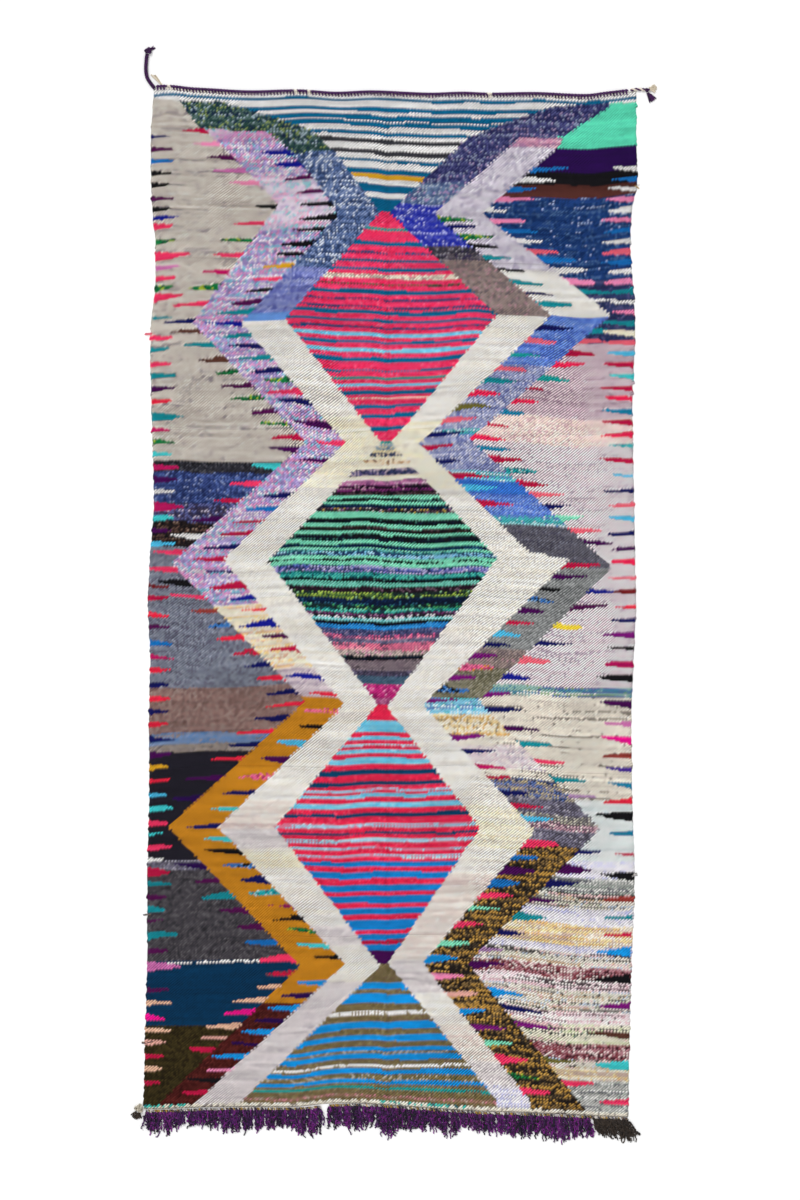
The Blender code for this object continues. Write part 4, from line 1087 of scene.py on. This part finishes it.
def makeTuft(name, root, direction, count, length, spread, radius, stuff, slot, *nodes):
    roots, reaches = [], []
    for k in range(count):
        lean = math.atan2(direction[1], direction[0]) + spread * draw.uniform(-1, 1)
        long = length * 0.1 * draw.uniform(0.75, 1.05)
        step = draw.uniform(-1, 1) * spread * 0.8
        roots.append(placed(root[0] * 0.1 - step * math.sin(lean), root[1] * 0.1 + step * math.cos(lean),
                            draw.uniform(radius, 0.4)))
        reaches.append(np.array([math.cos(lean) * long, -math.sin(lean) * long, -0.1]) * cm)
    values = strandValues(9, 5, radius, 0.6, 0.55, 1.0, stuff)
    return growPiece(name, baseMesh(roots, yarnKeys(count), reaches), strands, values, slot, *nodes)


def makePlait():
    across, down = smoothPath(plait["route"])
    route = placed(across, down, plait["rise"] + plait["plyRadius"])
    values = pliedValues(3, 8, plait["plyRadius"], plait["spread"], plait["lay"], 0.15, 0.33,
                         "plait", plait["rise"], 2.0, 0.0)
    piece = growPiece("cornerPlait", baseMesh(route, np.full(len(route), 0.1)), plied, values,
                      "purple_yarn", "corner_plait")
    return piece, route


plaitPiece, plaitRoute = makePlait()
plaitKnot = makeKnot("plaitKnot", (-2.7, -127), (0.95, 0.85, 0.34), 0.3, 0.66, 0.30, "plait",
                     "purple_yarn", "corner_knot")
plaitEnds = makeTuft("plaitEnds", (3, -131), (0.85, -0.5), 7, 17, 0.5, 0.1, "plait", "purple_yarn")
makeTuft("bareWarpEnds", (38, -25), (-0.66, -0.75), 14, 43, 0.2, 0.15, "cream", "cream_yarn",
         "warp_ends")


def makeTwist():
    across, down = smoothPath(twist["route"])
    route = placed(across, down, twist["spread"] + twist["plyRadius"])
    values = pliedValues(2, 8, twist["plyRadius"], twist["spread"], twist["lay"], 0.15, 0.75,
                         "twist")
    growPiece("cornerTwist", baseMesh(route, np.full(len(route), 0.1)), plied, values,
              "heading_yarn", "corner_twist")


makeTwist()
makeKnot("twistKnot", (1493.4, -8.9), (0.5, 0.62, 0.26), 1.2, 0.55, 0.24, "plait", "purple_yarn",
         "tie_knot")
makeTuft("purpleTail", (1495.6, -0.9), (0.52, 0.85), 18, 30, 0.4, 0.16, "plait", "purple_yarn",
         "purple_tuft")
makeTuft("creamTail", (1500.7, -12.8), (1, 0.05), 18, 21, 0.6, 0.13, "cream", "cream_yarn",
         "cream_tuft")
makeKnot("greyTieKnot", (-30.4, 3044), (1.16, 1.1, 0.34), 0.5, 0.7, 0.38, "tieOff", "grey_yarn",
         "tie_off_knot")
makeTuft("blackTail", (-35.6, 3058.1), (-0.3, 0.95), 26, 19, 0.8, 0.17, "blackFringe", "black_yarn",
         "black_tuft")

# Weft ends that hang from the selvedges: across and down (mm), way out, length (mm)
strayEnds = [(12, 2843, -1, 34), (4, 2462, -1, 22), (1448, 2348, 1, 16), (1456, 278, 1, 15)]
coralEnds = [(10, 719, -1, 22), (14, 1560, -1, 16)]


def makeStrays(name, table, stuff, slot):
    roots, reaches = [], []
    for across, down, way, long in table:
        for k in range(2):
            roots.append(placed(across * 0.1, down * 0.1 + 0.3 * k, 0.42))
            reaches.append(np.array([way * long * 0.1, draw.uniform(-0.8, 0.8), -0.25]) * cm)
    values = strandValues(9, 5, 0.13, 0.7, 1.2, 1.6, stuff)
    return growPiece(name, baseMesh(roots, yarnKeys(len(roots)), reaches), strands, values, slot)


makeStrays("strayEnds", strayEnds, "knots", "black_yarn")
makeStrays("coralEnds", coralEnds, "coral", "rag_weft")
print("corners tied")

# Camera, floor and light
shot = {"lens": 100, "high": 3.6, "centre": (0.0174, 0.0273)}
camera = bpy.data.objects.new("camera", bpy.data.cameras.new("camera"))
bpy.context.scene.collection.objects.link(camera)
camera.data.lens = shot["lens"]
camera.data.sensor_width = 36
camera.location = (*shot["centre"], shot["high"] * shot["lens"] / 36)
bpy.context.scene.camera = camera

studio = {"floor": 14.0, "floorColour": "fafafa", "world": 0.8, "sun": 1.4, "sunSoft": 22}
floorMesh = bpy.data.meshes.new("studioFloor")
half = studio["floor"] / 2
floorMesh.from_pydata([(-half, -half, 0), (half, -half, 0), (half, half, 0), (-half, half, 0)],
                      [], [(0, 1, 2, 3)])
floorMaterial, floorTree, floorShader = newMaterial("paintedFloor")
setShader(floorShader, {"Base Color": (*linear(studio["floorColour"]), 1), "Roughness": 0.9,
                        "Specular IOR Level": 0.0})
floorMesh.materials.append(floorMaterial)
floor = bpy.data.objects.new("studioFloor", floorMesh)
floor.location.z = -0.0005
bpy.context.scene.collection.objects.link(floor)

world = bpy.data.worlds.new("studio")
bpy.context.scene.world = world
world.use_nodes = True
world.node_tree.nodes["Background"].inputs[0].default_value = (1, 1, 1, 1)
world.node_tree.nodes["Background"].inputs[1].default_value = studio["world"]
sun = bpy.data.objects.new("softSun", bpy.data.lights.new("softSun", "SUN"))
sun.data.energy = studio["sun"]
sun.data.angle = math.radians(studio["sunSoft"])
sun.rotation_euler = (math.radians(-32), math.radians(-24), 0)
bpy.context.scene.collection.objects.link(sun)
bpy.context.scene.view_settings.view_transform = "Standard"

view.update()
